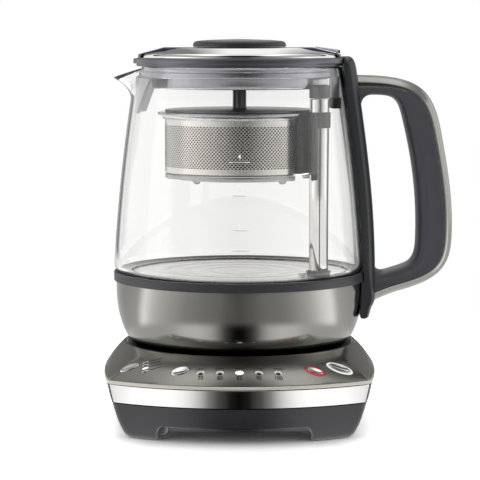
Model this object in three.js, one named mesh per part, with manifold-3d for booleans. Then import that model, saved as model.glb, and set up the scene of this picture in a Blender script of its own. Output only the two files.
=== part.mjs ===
// Automatic tea maker: a glass jug with a tea basket that rides on a post, on a cordless power base.
// Millimetres, +Z up. The jug's axis is the Z axis while the pieces are made.
// +X points to the handle, -Y to the front.
import * as THREE from 'three';
import { mergeVertices } from 'three/addons/utils/BufferGeometryUtils.js';
import Module from 'manifold-3d';

const wasm = await Module();
wasm.setup();

// General sizes
const fitGap = 0.3; // between pieces that are fitted to each other
const cutOverrun = 2; // how far a cutting shape runs past what it cuts
const farReach = 400; // half size of a cutting shape that has no limit of its own
const roundSegments = 32;
const connectorSegments = 20;
const smallSegments = 16;
const tinySegments = 12;

// Plan of the power base: a rounded square of large arcs round the jug's seat
const seatRadius = 70.2;
const seatSideMargin = 11.8;
const seatFrontMargin = 20.1;
const seatBackMargin = 12.2;
const baseHalfWidth = seatRadius + seatSideMargin;
const baseFrontReach = seatRadius + seatFrontMargin;
const baseBackReach = seatRadius + seatBackMargin;
const frontArcRadius = 136;
const sideArcRadius = 409;
const backArcRadius = 240;
const frontCornerRadius = 7;
const backCornerRadius = 18;

// Heights of the power base
const trayTop = 21.8;
const rimTop = 35;
const lipHeight = 1.8;
const lipBottom = rimTop - lipHeight;
const coverRise = 14.9; // from the rim to the seat
const seatTop = rimTop + coverRise;
const seatDepth = 8.9;
const seatFloorTop = seatTop - seatDepth;

// Tray
const trayWall = 2.4;
const trayPlateTop = 13.4;
const trayPlateBottom = 11.2;
const traySkirtBottom = 0.8;
const trayHeelHeight = 4.5;
const trayHeelInset = 9.3;
const trayWaistHeight = 9.8;
const trayWaistInset = 7;
const trayTopInset = 3.6;
const trayBottomInset = 12.4;
const archHalfWidthLeft = 47;
const archHalfWidthRight = 42;
const archFlank = 6; // how much each end of an arch leans out
const panHalfWidth = 44;
const panHalfDepth = 40;
const panBottom = 2.2;
const panWall = 2;
const footInsetX = 30; // from the sides
const footInsetY = 32.4; // from the back, and as far forward
const footX = baseHalfWidth - footInsetX;
const footY = baseBackReach - footInsetY;
const footRadius = 7.5;
const footHeight = 3;
const footBossRadius = 9.5;
const footSocketDepth = 2;
const boardPostX = 34;
const boardPostSetback = 28.3; // from the foremost point of the base
const boardPostY = baseFrontReach - boardPostSetback;
const boardPostRadius = 3;

// Housing and front trim
const housingTopInset = 0.5;
const housingBottomInset = 3;
const housingWall = 2.2;
const trimWall = 1.4;
const trimLength = 26.3; // from the foremost point of the base to the band's ends
const trimEndDepth = baseFrontReach - trimLength;

// Top cover
const coverWall = 1.9; // measured straight down
const coverCrown = 1.2; // how far the slope bulges above straight

// Seat dish
const seatWall = 2;
const seatDishMargin = 1.6;
const seatDishTopRadius = seatRadius - seatDishMargin;
const seatDishTaper = 8.4;
const seatDishFloorRadius = seatDishTopRadius - seatDishTaper;
const seatEdgeDrop = 2.6;

// Cordless connector
const connectorRadius = 15.5;
const connectorFlangeRadius = 20;
const connectorFlangeThickness = 2.2;
const connectorHeight = 8;
const connectorTop = seatFloorTop + connectorHeight;
const connectorFloorThickness = 3;
const connectorGrooveFloor = seatFloorTop + connectorFloorThickness;
const connectorRimWall = 2.4;
const connectorPinRadius = 2.5;
const connectorPinStandOut = 1;
const connectorPinTop = connectorTop + connectorPinStandOut;
const connectorPlugRadius = 7.4;
const connectorGrooveRadius = 8;
const collarWall = 2.6;
const collarHeight = 3.6;
const socketRadius = 21;
const socketClearance = 1.2; // over the pin
const socketCavityTop = connectorPinTop + socketClearance;
const socketRoofThickness = 5.8;
const socketTop = socketCavityTop + socketRoofThickness;
const socketFlangeWidth = 3;
const socketFlangeThickness = 1.8;

// Circuit boards
const boardThickness = 1.6;
const controlBoardDrop = 9; // below the rim
const controlBoardBottom = rimTop - controlBoardDrop;
const controlBoardInset = 6.2;
const controlBoardDepth = 44.3; // from the foremost point of the base to its back edge
const controlBoardBack = baseFrontReach - controlBoardDepth;
const powerBoardHalfWidth = 36;
const powerBoardHalfDepth = 32;
const powerBoardBottom = 6;
const powerPostRadius = 3;

// Controls, as ovals in plan that follow the cover's slope
const buttonRise = 0.5;
const buttonBodyDepth = 3;
const buttonTravel = 0.8;
const buttonFlangeWidth = 1;
const buttonFlangeDrop = 2.4;
const buttonFlangeThickness = 1.2;
const buttonStemRadius = 1.5;
const ringWidth = 1.1;
const ringRise = 0.2;
const switchWidth = 6;
const switchHeight = 3.3;
const strengthButtonInset = 18.1; // from the side
const strengthButtonSetback = 28.8; // from the foremost point of the base
const strengthButtonX = strengthButtonInset - baseHalfWidth;
const strengthButtonY = strengthButtonSetback - baseFrontReach;
const strengthButtonLength = 11.2;
const strengthButtonWidth = 4.8;
const temperatureButtonX = -34.1;
const temperatureButtonSetback = 13.9;
const temperatureButtonY = temperatureButtonSetback - baseFrontReach;
const temperatureButtonLength = 10.6;
const temperatureButtonWidth = 4.8;
const warmButtonX = 43.7;
const warmButtonSetback = 16.9;
const warmButtonY = warmButtonSetback - baseFrontReach;
const warmButtonLength = 8.6;
const warmButtonWidth = 3.2;
const startButtonInset = 23.9;
const startButtonSetback = 25.2;
const startButtonX = baseHalfWidth - startButtonInset;
const startButtonY = startButtonSetback - baseFrontReach;
const startButtonLength = 12.6;
const startButtonWidth = 5.2;
const windowRise = 0.1;
const guideDrop = 2.3;
const guideThickness = 1.4;
const strengthWindowCount = 4;
const strengthWindowInset = 27.4;
const strengthWindowX = strengthWindowInset - baseHalfWidth;
const strengthWindowSetback = 20.9;
const strengthWindowFrontY = strengthWindowSetback - baseFrontReach;
const strengthWindowPitch = 2.75;
const strengthWindowLength = 3.6;
const strengthWindowWidth = 1.3;
const temperatureWindowCount = 5;
const temperatureWindowPitch = 11.15;
const temperatureWindowSetback = 8.2; // from the rim, measured along the front arc's radius
const temperatureWindowLength = 5;
const temperatureWindowWidth = 2.2;

// Steel bowl
const bowlWall = 0.9;
const bowlOverhang = 4.5; // over the seat's edge
const bowlTopRadius = seatRadius + bowlOverhang;
const bowlShoulderBulge = 0.5;
const bowlShoulderRadius = bowlTopRadius + bowlShoulderBulge;
const bowlHeelDrawIn = 4.7;
const bowlHeelRadius = bowlTopRadius - bowlHeelDrawIn;
const bowlFootDrawIn = 22.7;
const bowlBottomRadius = bowlTopRadius - bowlFootDrawIn;
const bowlStandOff = 1.3; // over the floor of the seat
const bowlBottomHeight = seatFloorTop + bowlStandOff;
const bowlHeelRise = 2.2;
const bowlHeelHeight = bowlBottomHeight + bowlHeelRise;
const bowlHeight = 44.8;
const bowlTopHeight = bowlBottomHeight + bowlHeight;
const bowlShoulderDrop = 21.1;
const bowlShoulderHeight = bowlTopHeight - bowlShoulderDrop;
const bowlBaseThickness = 3.7;

// Floor of the jug
const floorRise = 4.8; // above the bowl's top
const floorTop = bowlTopHeight + floorRise;
const floorWall = 1.2;
const lowerCollarOverhang = 1.5;
const lowerCollarRadius = bowlTopRadius + lowerCollarOverhang;
const lowerCollarWall = 1.9;
const lowerCollarInnerRadius = lowerCollarRadius - lowerCollarWall;
const lowerCollarHeight = 5.3;
const lowerCollarTop = bowlTopHeight + lowerCollarHeight;
const floorFlangeClearance = 0.7;
const floorFlangeRadius = lowerCollarInnerRadius - floorFlangeClearance;
const floorFlangeWidth = 8.5;
const floorPlateauRadius = floorFlangeRadius - floorFlangeWidth;
const floorFlangeRise = 1.5;
const floorFlangeTop = bowlTopHeight + floorFlangeRise;
const floorFlangeThickness = 1;
const sealThickness = 1;
const sealClearance = 1.1;
const sealInnerRadius = floorPlateauRadius + sealClearance;

// Heater and sensor
const heaterPlateThickness = 3;
const heaterTubeRadius = 3.3;
const probeRadius = 2.6;
const probeLength = 9;
const probeStandOut = 2.6;

// Glass
const glassWall = 2.8;
const glassBellyRadius = lowerCollarRadius - fitGap;
const glassHeelRadius = 8;
const glassFootClearance = 0.9; // to the floor's plateau
const glassFootInnerRadius = floorPlateauRadius + glassFootClearance;
const glassTaper = 13.5;
const glassRimRadius = glassBellyRadius - glassTaper;
const glassFoot = floorFlangeTop + sealThickness;
const glassHeight = 126.1;
const glassRimHeight = glassFoot + glassHeight;
const glassLeanShare = 0.51; // the rest of the taper grows with the square of the height
const spoutHeight = 21.7;
const spoutStartHeight = glassRimHeight - spoutHeight;
const spoutReach = 14.5;
const spoutDrop = 6.4;
const spoutHalfAngle = THREE.MathUtils.degToRad(30);
const spoutFlare = 2.3;
const glassClearance = 0.9; // to the glass's inside, whose facets lie inside its circles

// Rim collar and spout guard
const rimCollarOverhang = 1.5;
const rimCollarRadius = glassRimRadius + rimCollarOverhang;
const rimCollarHeight = 4.6;
const rimCollarBottom = glassRimHeight + fitGap;
const rimCollarTop = rimCollarBottom + rimCollarHeight;
const sleeveClearance = 0.7; // to the glass's inside
const sleeveRadius = glassRimRadius - glassWall - sleeveClearance;
const sleeveWall = 2.1;
const sleeveInnerRadius = sleeveRadius - sleeveWall;
const sleeveDrop = 6.7; // below the glass's rim
const sleeveBottom = glassRimHeight - sleeveDrop;
const guardHeight = 20.7;
const guardBottom = sleeveBottom - fitGap - guardHeight;
const guardWall = 1.4;
const guardTopHalfAngle = THREE.MathUtils.degToRad(31);
const guardBottomHalfAngle = THREE.MathUtils.degToRad(20);

// Handle, in the plane of the jug's axis: x from the axis, z from the table
const handleFrameHalfWidth = 17.5;
const handleLoopHalfWidth = 14;
const handleHeadLap = 2; // over the rim collar
const handleHeadX = rimCollarRadius - handleHeadLap;
const handleDepth = 66.8;
const handleReach = handleHeadX + handleDepth;
const handleStandUp = 1.3; // above the rim collar
const handleTop = rimCollarTop + handleStandUp;
const handleRootDrop = 23.1; // below the bowl's top
const handleRoot = bowlTopHeight - handleRootDrop;
const handleBevel = 2;
const handleGap = 0.6; // to the jug, whose facets turn against the handle
const coverBandTop = 5.2;
const coverBandSide = 3.6;
const handleScrewHeadRadius = 1.6;
const handleScrewRadius = 0.9;
const handleScrewHeadThickness = 1.6;
const handleScrewLength = 10;
const lowerScrewRise = 5; // above the handle's root
const lowerScrewLevel = handleRoot + lowerScrewRise;
const lowerScrewDepth = 4.8; // from the bowl's top radius to the screw's head
const lowerScrewStart = bowlTopRadius - lowerScrewDepth;

// Lift post and drive
const postInset = 4.4; // from the glass's inside at the rim
const postDistance = glassRimRadius - glassWall - postInset;
const postAngle = THREE.MathUtils.degToRad(-32.5);
const postRadius = 5.5;
const postBoreRadius = 4.3;
const postTopDrop = 18.7; // below the glass's rim
const postTop = glassRimHeight - postTopDrop;
const postFootRadius = 7.2;
const postFootHeight = 3;
const postCapRadius = 6.1;
const postCapHeight = 7.9;
const postCapTop = postTop + postCapHeight;
const postBushRadius = 4.7;
const postCapStubLength = 3;
const screwRadius = 1.6;
const carriageHeight = 9;
const carriageClearance = 0.4;
const motorHeadRadius = 8.4;
const motorHeadHeight = 20.4;
const motorCanRadius = 7;
const motorCanHeight = 17.4;
const heaterMotorGap = 4.8;
const heaterPlateRadius = postDistance - motorHeadRadius - heaterMotorGap;
const heaterTubeInset = 10;
const heaterTubeRingRadius = heaterPlateRadius - heaterTubeInset;
const probeInset = 4.5;
const probeX = heaterPlateRadius - probeInset;
const probeY = -probeX;

// Tea basket
const cupSetback = 10.1; // from the post's axis
const cupRadius = postDistance - cupSetback;
const cupWall = 0.7;
const flangeOverhang = 4.3;
const flangeRadius = cupRadius + flangeOverhang;
const flangeLap = 2.1; // in over the cup's wall
const flangeInnerRadius = cupRadius - flangeLap;
const flangeDrop = 8.5; // below the post's top
const flangeTop = postTop - flangeDrop;
const flangeThickness = 2.8;
const cupDepth = 35.7;
const cupBottom = flangeTop - cupDepth;
const bottomRingHeight = 4.2;
const bottomRingBottom = cupBottom - bottomRingHeight;
const bottomRingWidth = 4.1;
const bottomRingInnerRadius = cupRadius - bottomRingWidth;
const bottomRingTaper = 0.5;
const bottomRingRadius = cupRadius - bottomRingTaper;
const bumpRadius = 2.2;
const bumpHeight = 1.6;
const bumpInset = 2.3; // from the cup's outside
const bumpDistance = cupRadius - bumpInset;
const bumpCount = 5;
const spineHalfAngle = THREE.MathUtils.degToRad(10);
const spineThickness = 3.4;
const spineRise = 1.4; // above the bottom ring's underside
const spineBottom = bottomRingBottom + spineRise;
const clipWall = 2.2;
const clipClearance = 0.4;
const clipStandUp = 0.7; // above the top ring
const clipTop = flangeTop + clipStandUp;
const clipHeight = 9.4;
const magnetThickness = 1.4;
const magnetHalfWidth = 2.2;
const magnetHeight = 6;
const basketLidSetback = 0.1;
const basketLidRadius = cupRadius - basketLidSetback;
const basketLidThickness = 1.2;
const stemRadius = 4.1;
const stemHeight = 18;

// Lid
const lidSetback = 2.6; // inside the rim collar's edge
const lidRadius = rimCollarRadius - lidSetback;
const lidEdgeRise = 2.3; // above the rim collar
const lidEdgeTop = rimCollarTop + lidEdgeRise;
const lidEdgeWall = 2.4;
const lidDeckRise = 0.6;
const lidDeckTop = rimCollarTop + lidDeckRise;
const lidDeckThickness = 2.6;
const plugClearance = 0.6;
const plugRadius = sleeveInnerRadius - plugClearance;
const plugBottom = sleeveBottom + fitGap;
const skirtSetback = 3.2;
const skirtRadius = plugRadius - skirtSetback;
const skirtWall = 2;
const skirtHeight = 6.7;
const skirtBottom = plugBottom - skirtHeight;
const grooveDepth = 1.4;
const grooveRise = 2.7; // above the plug's underside
const grooveBottom = plugBottom + grooveRise;
const grooveWidth = 3;
const grooveTop = grooveBottom + grooveWidth;
const gasketStandOut = 0.3;
const gasketRadius = plugRadius + gasketStandOut;
const plateRadius = lidRadius - lidEdgeWall - fitGap;
const plateWall = 0.8;
const plateRimHeight = lidDeckTop + fitGap;
const plateCrown = 3.7;
const bridgeHalfWidth = 13;
const bridgeHeight = 5.7; // above the plate's underside
const bridgeTop = plateRimHeight + bridgeHeight;
const bridgeSetback = 0.4;
const bridgeReach = plateRadius - bridgeSetback;
const bridgeSlopeLeft = 10.3;
const bridgeSlopeRight = 14.9;
const bridgeFlatLeft = bridgeReach - bridgeSlopeLeft;
const bridgeFlatRight = bridgeReach - bridgeSlopeRight;
const bridgeEndHeight = 1.9;
const bridgeEndTop = plateRimHeight + bridgeEndHeight;
const bridgeHubRadius = 26;
const stemGuideWall = 2;
const stemGuideClearance = 0.6;
const stemGuideDrop = 3.3; // below the plug
const stemGuideBottom = plugBottom - stemGuideDrop;
const knobRadius = 28;
const knobHeight = 5; // above the bridge
const knobCrown = 1.3;
const knobBevel = 1.3;
const knobShoulderSetback = 1.5;
const knobTop = bridgeTop + knobHeight;
const knobEdgeTop = knobTop - knobCrown;
const knobShoulderRadius = knobRadius - knobShoulderSetback;
const knobSideHeight = knobEdgeTop - knobBevel;
const tabStartInset = 2.3; // from the end of the bridge's flat
const tabStart = bridgeFlatRight + tabStartInset;
const tabLength = 13.2;
const tabEnd = tabStart + tabLength;
const tabStartThickness = 0.5;
const tabEndThickness = 2.2;
const tabHalfWidth = 6;

// Materials
const paint = (color, roughness, metalness = 0) =>
  new THREE.MeshStandardMaterial({ color, roughness, metalness });
const charcoal = paint(0x3a393d, 0.5);
const blackPlastic = paint(0x151516, 0.35);
const smokedMetal = paint(0x6f6f6b, 0.3, 0.9);
const polishedSteel = paint(0xd5d5d3, 0.08, 1);
const brushedSteel = paint(0xb9b9b7, 0.3, 1);
const greyPlastic = paint(0x77767a, 0.4);
const silicone = paint(0x2a2a2c, 0.7);
const rubber = paint(0x1c1c1d, 0.9);
const silverPlastic = paint(0xc9c9c7, 0.3, 0.6);
const redLight = paint(0xb01c1c, 0.3);
const whiteLight = paint(0xf4f4f0, 0.3);
const circuitGreen = paint(0x1d5a35, 0.5);
const aluminium = paint(0xa9acb0, 0.4, 1);
const magnetMetal = paint(0x8a8c90, 0.3, 1);
const clearGlass = new THREE.MeshStandardMaterial({
  color: 0xe8eef0, roughness: 0.02, metalness: 0, transparent: true, opacity: 0.3,
});

// Turns a geometry the right way out, whichever way round its outline was listed
function outward(geometry) {
  const { position } = geometry.attributes;
  const index = geometry.index ? Array.from(geometry.index.array) : Array.from(Array(position.count).keys());
  const corners = [0, 1, 2].map(() => new THREE.Vector3());
  let volume = 0;
  for (let i = 0; i < index.length; i += 3) {
    corners.forEach((corner, k) => corner.fromBufferAttribute(position, index[i + k]));
    volume += corners[0].dot(corners[1].cross(corners[2]));
  }
  if (volume < 0) {
    for (let i = 0; i < index.length; i += 3) {
      [index[i], index[i + 1]] = [index[i + 1], index[i]];
    }
  }
  geometry.setIndex(index);
  return geometry;
}

function bareGeometry(geometry) {
  const bare = new THREE.BufferGeometry();
  bare.setAttribute('position', geometry.attributes.position.clone());
  if (geometry.index) {
    bare.setIndex(geometry.index.clone());
  }
  return mergeVertices(bare);
}

function solidFrom(geometry) {
  const merged = bareGeometry(geometry);
  const index = merged.index.array;
  const kept = [];
  for (let i = 0; i < index.length; i += 3) {
    const [a, b, c] = [index[i], index[i + 1], index[i + 2]];
    if (a !== b && b !== c && c !== a) {
      kept.push(a, b, c);
    }
  }
  return new wasm.Manifold(new wasm.Mesh({
    numProp: 3,
    vertProperties: Float32Array.from(merged.attributes.position.array),
    triVerts: Uint32Array.from(kept),
  }));
}

function geometryFrom(solid) {
  const mesh = solid.getMesh();
  const geometry = new THREE.BufferGeometry();
  geometry.setAttribute('position', new THREE.BufferAttribute(mesh.vertProperties, mesh.numProp));
  geometry.setIndex(new THREE.BufferAttribute(mesh.triVerts, 1));
  geometry.computeVertexNormals();
  return geometry;
}

const cut = (geometry, ...tools) =>
  geometryFrom(tools.reduce((solid, tool) => solid.subtract(solidFrom(tool)), solidFrom(geometry)));
const join = (geometry, ...others) =>
  geometryFrom(others.reduce((solid, other) => solid.add(solidFrom(other)), solidFrom(geometry)));
const common = (geometry, ...tools) =>
  geometryFrom(tools.reduce((solid, tool) => solid.intersect(solidFrom(tool)), solidFrom(geometry)));

// A solid turned about Z from [radius, height] points that close on themselves or start and end on the axis
function turned(profile, segments = roundSegments) {
  const points = profile.map(([radius, height]) => new THREE.Vector2(radius, height));
  if (profile[0][0] > 0) {
    points.push(points[0].clone());
  }
  return outward(new THREE.LatheGeometry(points, segments).rotateX(Math.PI / 2));
}

// A solid skinned over rings with equal numbers of points. The last meets the first, or both ends are capped.
function skinned(rings, capped = false) {
  const count = rings[0].length;
  const positions = rings.flat(2);
  const index = [];
  const lastPair = capped ? rings.length - 1 : rings.length;
  for (let r = 0; r < lastPair; r += 1) {
    const next = (r + 1) % rings.length;
    for (let i = 0; i < count; i += 1) {
      const j = (i + 1) % count;
      const [a, b, c, d] = [r * count + i, r * count + j, next * count + j, next * count + i];
      index.push(a, b, c, a, c, d);
    }
  }
  if (capped) {
    const ends = [[rings[0], 0, true], [rings.at(-1), (rings.length - 1) * count, false]];
    for (const [ring, first, flip] of ends) {
      const flat = ring.map(([x, y]) => new THREE.Vector2(x, y));
      for (const [a, b, c] of THREE.ShapeUtils.triangulateShape(flat, [])) {
        index.push(...(flip ? [first + a, first + c, first + b] : [first + a, first + b, first + c]));
      }
    }
  }
  const geometry = new THREE.BufferGeometry();
  geometry.setAttribute('position', new THREE.Float32BufferAttribute(positions, 3));
  geometry.setIndex(index);
  return outward(geometry);
}

// An outline in X and Z, pushed out to both sides of Y = 0, with bevelled edges if asked
function slab(shape, halfWidth, bevel = 0, curveSegments = 6) {
  const geometry = new THREE.ExtrudeGeometry(shape, {
    depth: 2 * (halfWidth - bevel),
    bevelEnabled: bevel > 0,
    bevelThickness: bevel,
    bevelSize: bevel,
    bevelOffset: -bevel,
    bevelSegments: 1,
    curveSegments,
  });
  return outward(geometry.translate(0, 0, bevel - halfWidth).rotateX(Math.PI / 2));
}

function block(lowX, highX, lowY, highY, lowZ, highZ) {
  const geometry = new THREE.BoxGeometry(highX - lowX, highY - lowY, highZ - lowZ);
  return geometry.translate((lowX + highX) / 2, (lowY + highY) / 2, (lowZ + highZ) / 2);
}

function rod(x, y, radius, bottom, top, segments = smallSegments) {
  return turned([[0, bottom], [radius, bottom], [radius, top], [0, top]], segments).translate(x, y, 0);
}

// Plan of the base. The outline starts at the middle of the front and runs round by way of +X.
const frontCentre = new THREE.Vector2(0, frontArcRadius - baseFrontReach);
const sideCentre = new THREE.Vector2(baseHalfWidth - sideArcRadius, 0);
const backCentre = new THREE.Vector2(0, baseBackReach - backArcRadius);

// The crossing of two circles that lies furthest to +X
function crossing(centreA, radiusA, centreB, radiusB) {
  const along = new THREE.Vector2().subVectors(centreB, centreA);
  const distance = along.length();
  const near = (radiusA ** 2 - radiusB ** 2 + distance ** 2) / (2 * distance);
  const off = Math.sqrt(radiusA ** 2 - near ** 2);
  along.normalize();
  const middle = centreA.clone().addScaledVector(along, near);
  const across = new THREE.Vector2(-along.y, along.x);
  const ends = [middle.clone().addScaledVector(across, off), middle.clone().addScaledVector(across, -off)];
  return ends[0].x > ends[1].x ? ends[0] : ends[1];
}

function arc(centre, radius, from, to, steps) {
  return Array.from({ length: steps }, (_, i) => {
    const angle = THREE.MathUtils.lerp(from, to, i / steps);
    return [centre.x + radius * Math.cos(angle), centre.y + radius * Math.sin(angle)];
  });
}

const angleFrom = (centre, point) => Math.atan2(point.y - centre.y, point.x - centre.x);

function planOutline(inset) {
  const front = frontArcRadius - inset;
  const side = sideArcRadius - inset;
  const back = backArcRadius - inset;
  const frontCorner = crossing(frontCentre, front - frontCornerRadius, sideCentre, side - frontCornerRadius);
  const backCorner = crossing(backCentre, back - backCornerRadius, sideCentre, side - backCornerRadius);
  const frontTurn = angleFrom(frontCentre, frontCorner);
  const backTurn = angleFrom(backCentre, backCorner);
  const sideFront = angleFrom(sideCentre, frontCorner);
  const sideBack = angleFrom(sideCentre, backCorner);
  const right = [
    ...arc(frontCentre, front, -Math.PI / 2, frontTurn, 7),
    ...arc(frontCorner, frontCornerRadius, frontTurn, sideFront, 4),
    ...arc(sideCentre, side, sideFront, 0, 3),
    ...arc(sideCentre, side, 0, sideBack, 3),
    ...arc(backCorner, backCornerRadius, sideBack, backTurn, 4),
    ...arc(backCentre, back, backTurn, Math.PI / 2, 3),
  ];
  const left = right.slice(1).map(([x, y]) => [-x, y]).reverse();
  return [...right, [0, baseBackReach - inset], ...left];
}

const planRing = (inset, height) => planOutline(inset).map(([x, y]) => [x, y, height]);

// The cover's upper face: share 0 is the rim and share 1 the round seat's edge
function coverRing(share, shift = 0) {
  return planOutline(0).map(([x, y]) => {
    const reach = Math.hypot(x, y);
    const height = THREE.MathUtils.lerp(rimTop, seatTop, share) + 4 * coverCrown * share * (1 - share);
    const scale = THREE.MathUtils.lerp(reach, seatRadius, share) / reach;
    return [x * scale, y * scale, height + shift];
  });
}

const coverShares = [0, 0.2, 0.5, 1.06]; // the last runs on inside the seat's edge, to be cut round

// The layer between two depths under the cover's upper face
function coverLayer(fromShift, toShift) {
  const upper = coverShares.map((share) => coverRing(share, fromShift));
  const lower = coverShares.map((share) => coverRing(share, toShift)).reverse();
  return skinned([...upper, ...lower]);
}

// An upright prism with an oval plan
function ovalPrism({ x, y, length, width }, grow = 0) {
  const segments = width > temperatureWindowWidth ? smallSegments : tinySegments;
  const geometry = new THREE.CylinderGeometry(1, 1, 1, segments).rotateX(Math.PI / 2);
  geometry.scale(length / 2 + grow, width / 2 + grow, seatTop - trayTop + cutOverrun);
  return geometry.translate(x, y, (seatTop + trayTop) / 2);
}

const controls = {
  strength: {
    x: strengthButtonX, y: strengthButtonY,
    length: strengthButtonLength, width: strengthButtonWidth,
  },
  temperature: {
    x: temperatureButtonX, y: temperatureButtonY,
    length: temperatureButtonLength, width: temperatureButtonWidth,
  },
  warm: { x: warmButtonX, y: warmButtonY, length: warmButtonLength, width: warmButtonWidth },
  start: { x: startButtonX, y: startButtonY, length: startButtonLength, width: startButtonWidth },
};
const litControls = ['warm', 'start'];

const strengthWindows = Array.from({ length: strengthWindowCount }, (_, i) => ({
  x: strengthWindowX,
  y: strengthWindowFrontY + i * strengthWindowPitch,
  length: strengthWindowLength,
  width: strengthWindowWidth,
}));

const windowArcRadius = frontArcRadius - temperatureWindowSetback;
const temperatureWindows = Array.from({ length: temperatureWindowCount }, (_, i) => {
  const x = (i - (temperatureWindowCount - 1) / 2) * temperatureWindowPitch;
  return {
    x,
    y: frontCentre.y - Math.sqrt(windowArcRadius ** 2 - x ** 2),
    length: temperatureWindowLength,
    width: temperatureWindowWidth,
  };
});

const controlBoardTop = controlBoardBottom + boardThickness;
const stemBottom = controlBoardTop + switchHeight + buttonTravel + fitGap;

// How far a control's opening reaches past its button
const openingGrowth = (name) => (litControls.includes(name) ? ringWidth + 2 * fitGap : fitGap);

// Power base
function makeTray() {
  const outer = skinned([
    planRing(trayBottomInset, traySkirtBottom),
    planRing(trayHeelInset, trayHeelHeight),
    planRing(trayWaistInset, trayWaistHeight),
    planRing(trayTopInset, trayTop),
  ], true);
  const upperHollow = skinned([
    planRing(trayWaistInset + trayWall, trayPlateTop),
    planRing(trayTopInset + trayWall, trayTop + cutOverrun),
  ], true);
  const lowerHollow = skinned([
    planRing(trayBottomInset + trayWall, -cutOverrun),
    planRing(trayHeelInset + trayWall, trayHeelHeight),
    planRing(trayWaistInset + trayWall, trayPlateBottom),
  ], true);
  const archShape = new THREE.Shape([
    new THREE.Vector2(-archHalfWidthLeft - archFlank, -cutOverrun),
    new THREE.Vector2(archHalfWidthRight + archFlank, -cutOverrun),
    new THREE.Vector2(archHalfWidthRight, trayPlateBottom),
    new THREE.Vector2(-archHalfWidthLeft, trayPlateBottom),
  ]);
  const arches = slab(archShape, farReach);
  const panOuter = block(-panHalfWidth, panHalfWidth, -panHalfDepth, panHalfDepth, panBottom, trayPlateTop);
  const panInner = block(
    panWall - panHalfWidth, panHalfWidth - panWall, panWall - panHalfDepth, panHalfDepth - panWall,
    panBottom + panWall, trayPlateTop + cutOverrun,
  );
  const shell = cut(outer, upperHollow, lowerHollow, arches);
  const bossBottom = footHeight - footSocketDepth;
  const feet = footPlaces.map(([, x, y]) => rod(x, y, footBossRadius, bossBottom, trayPlateTop));
  const sockets = footPlaces.map(([, x, y]) => rod(x, y, footRadius + fitGap, -cutOverrun, footHeight));
  const boardPosts = [-1, 1].map((side) =>
    rod(side * boardPostX, -boardPostY, boardPostRadius, trayPlateBottom, controlBoardBottom));
  const powerPosts = [-1, 1].flatMap((x) => [-1, 1].map((y) => rod(
    x * (powerBoardHalfWidth - powerPostRadius), y * (powerBoardHalfDepth - powerPostRadius),
    powerPostRadius, panBottom, powerBoardBottom,
  )));
  const withPan = cut(join(shell, panOuter), panInner);
  return cut(join(withPan, ...feet, ...boardPosts, ...powerPosts), ...sockets);
}

const footPlaces = [
  ['foot_front_left', -footX, -footY],
  ['foot_front_right', footX, -footY],
  ['foot_back_left', -footX, footY],
  ['foot_back_right', footX, footY],
];

const bandTop = lipBottom - fitGap;
const trimRegion = (depth) => block(-farReach, farReach, -farReach, -depth, -farReach, farReach);

// A ring of the leaning wall between tray and cover, a depth in from its outer face
function bandRing(depth, height) {
  const rise = (height - trayTop) / (bandTop - trayTop);
  return planRing(THREE.MathUtils.lerp(housingBottomInset, housingTopInset, rise) + depth, height);
}

const bandLayer = (outerDepth, innerDepth, bottom, top) => skinned([
  bandRing(outerDepth, bottom),
  bandRing(outerDepth, top),
  bandRing(innerDepth, top),
  bandRing(innerDepth, bottom),
]);

function makeHousing() {
  const shell = bandLayer(0, trimWall + housingWall, trayTop, bandTop);
  const seat = bandLayer(-cutOverrun, trimWall + fitGap, trayTop - cutOverrun, bandTop + cutOverrun);
  return cut(shell, common(seat, trimRegion(trimEndDepth - 2 * fitGap)));
}

const makeTrim = () => common(bandLayer(0, trimWall, trayTop + fitGap, bandTop), trimRegion(trimEndDepth));

function makeTopCover() {
  const upper = coverShares.map((share) => coverRing(share));
  const lower = coverShares.slice(1).map((share) => coverRing(share, -coverWall)).reverse();
  const cover = skinned([planRing(0, lipBottom), ...upper, ...lower, planRing(coverWall, lipBottom)]);
  const openings = Object.entries(controls).map(([name, oval]) => ovalPrism(oval, openingGrowth(name)));
  const windows = [...strengthWindows, ...temperatureWindows].map((oval) => ovalPrism(oval, fitGap));
  const seat = rod(0, 0, seatRadius, lipBottom, seatTop + cutOverrun, roundSegments);
  return cut(cover, seat, ...openings, ...windows);
}

function makeSeatRing() {
  const edgeRadius = seatRadius - fitGap;
  return turned([
    [connectorRadius + fitGap, seatFloorTop],
    [seatDishFloorRadius, seatFloorTop],
    [seatDishTopRadius, seatTop],
    [edgeRadius, seatTop],
    [edgeRadius, seatTop - seatEdgeDrop],
    [seatDishFloorRadius + seatWall, seatFloorTop - seatWall],
    [connectorRadius + fitGap, seatFloorTop - seatWall],
  ]);
}

function makePowerConnector() {
  const flangeTop = seatFloorTop - seatWall;
  const flangeBottom = flangeTop - connectorFlangeThickness;
  const grooveOuter = connectorRadius - connectorRimWall;
  return turned([
    [0, connectorPinTop],
    [connectorPinRadius, connectorPinTop],
    [connectorPinRadius, connectorGrooveFloor],
    [connectorGrooveRadius, connectorGrooveFloor],
    [connectorGrooveRadius, connectorTop],
    [grooveOuter, connectorTop],
    [connectorRadius, connectorTop - connectorRimWall],
    [connectorRadius, flangeTop],
    [connectorFlangeRadius, flangeTop],
    [connectorFlangeRadius, flangeBottom],
    [0, flangeBottom],
  ], connectorSegments);
}

const collarOuterRadius = connectorRadius + fitGap + collarWall;

function makeConnectorCollar() {
  const bottom = seatFloorTop + fitGap;
  return turned([
    [connectorRadius + fitGap, bottom],
    [collarOuterRadius, bottom],
    [collarOuterRadius, bottom + collarHeight],
    [connectorRadius + fitGap, bottom + collarHeight],
  ], connectorSegments);
}

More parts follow.
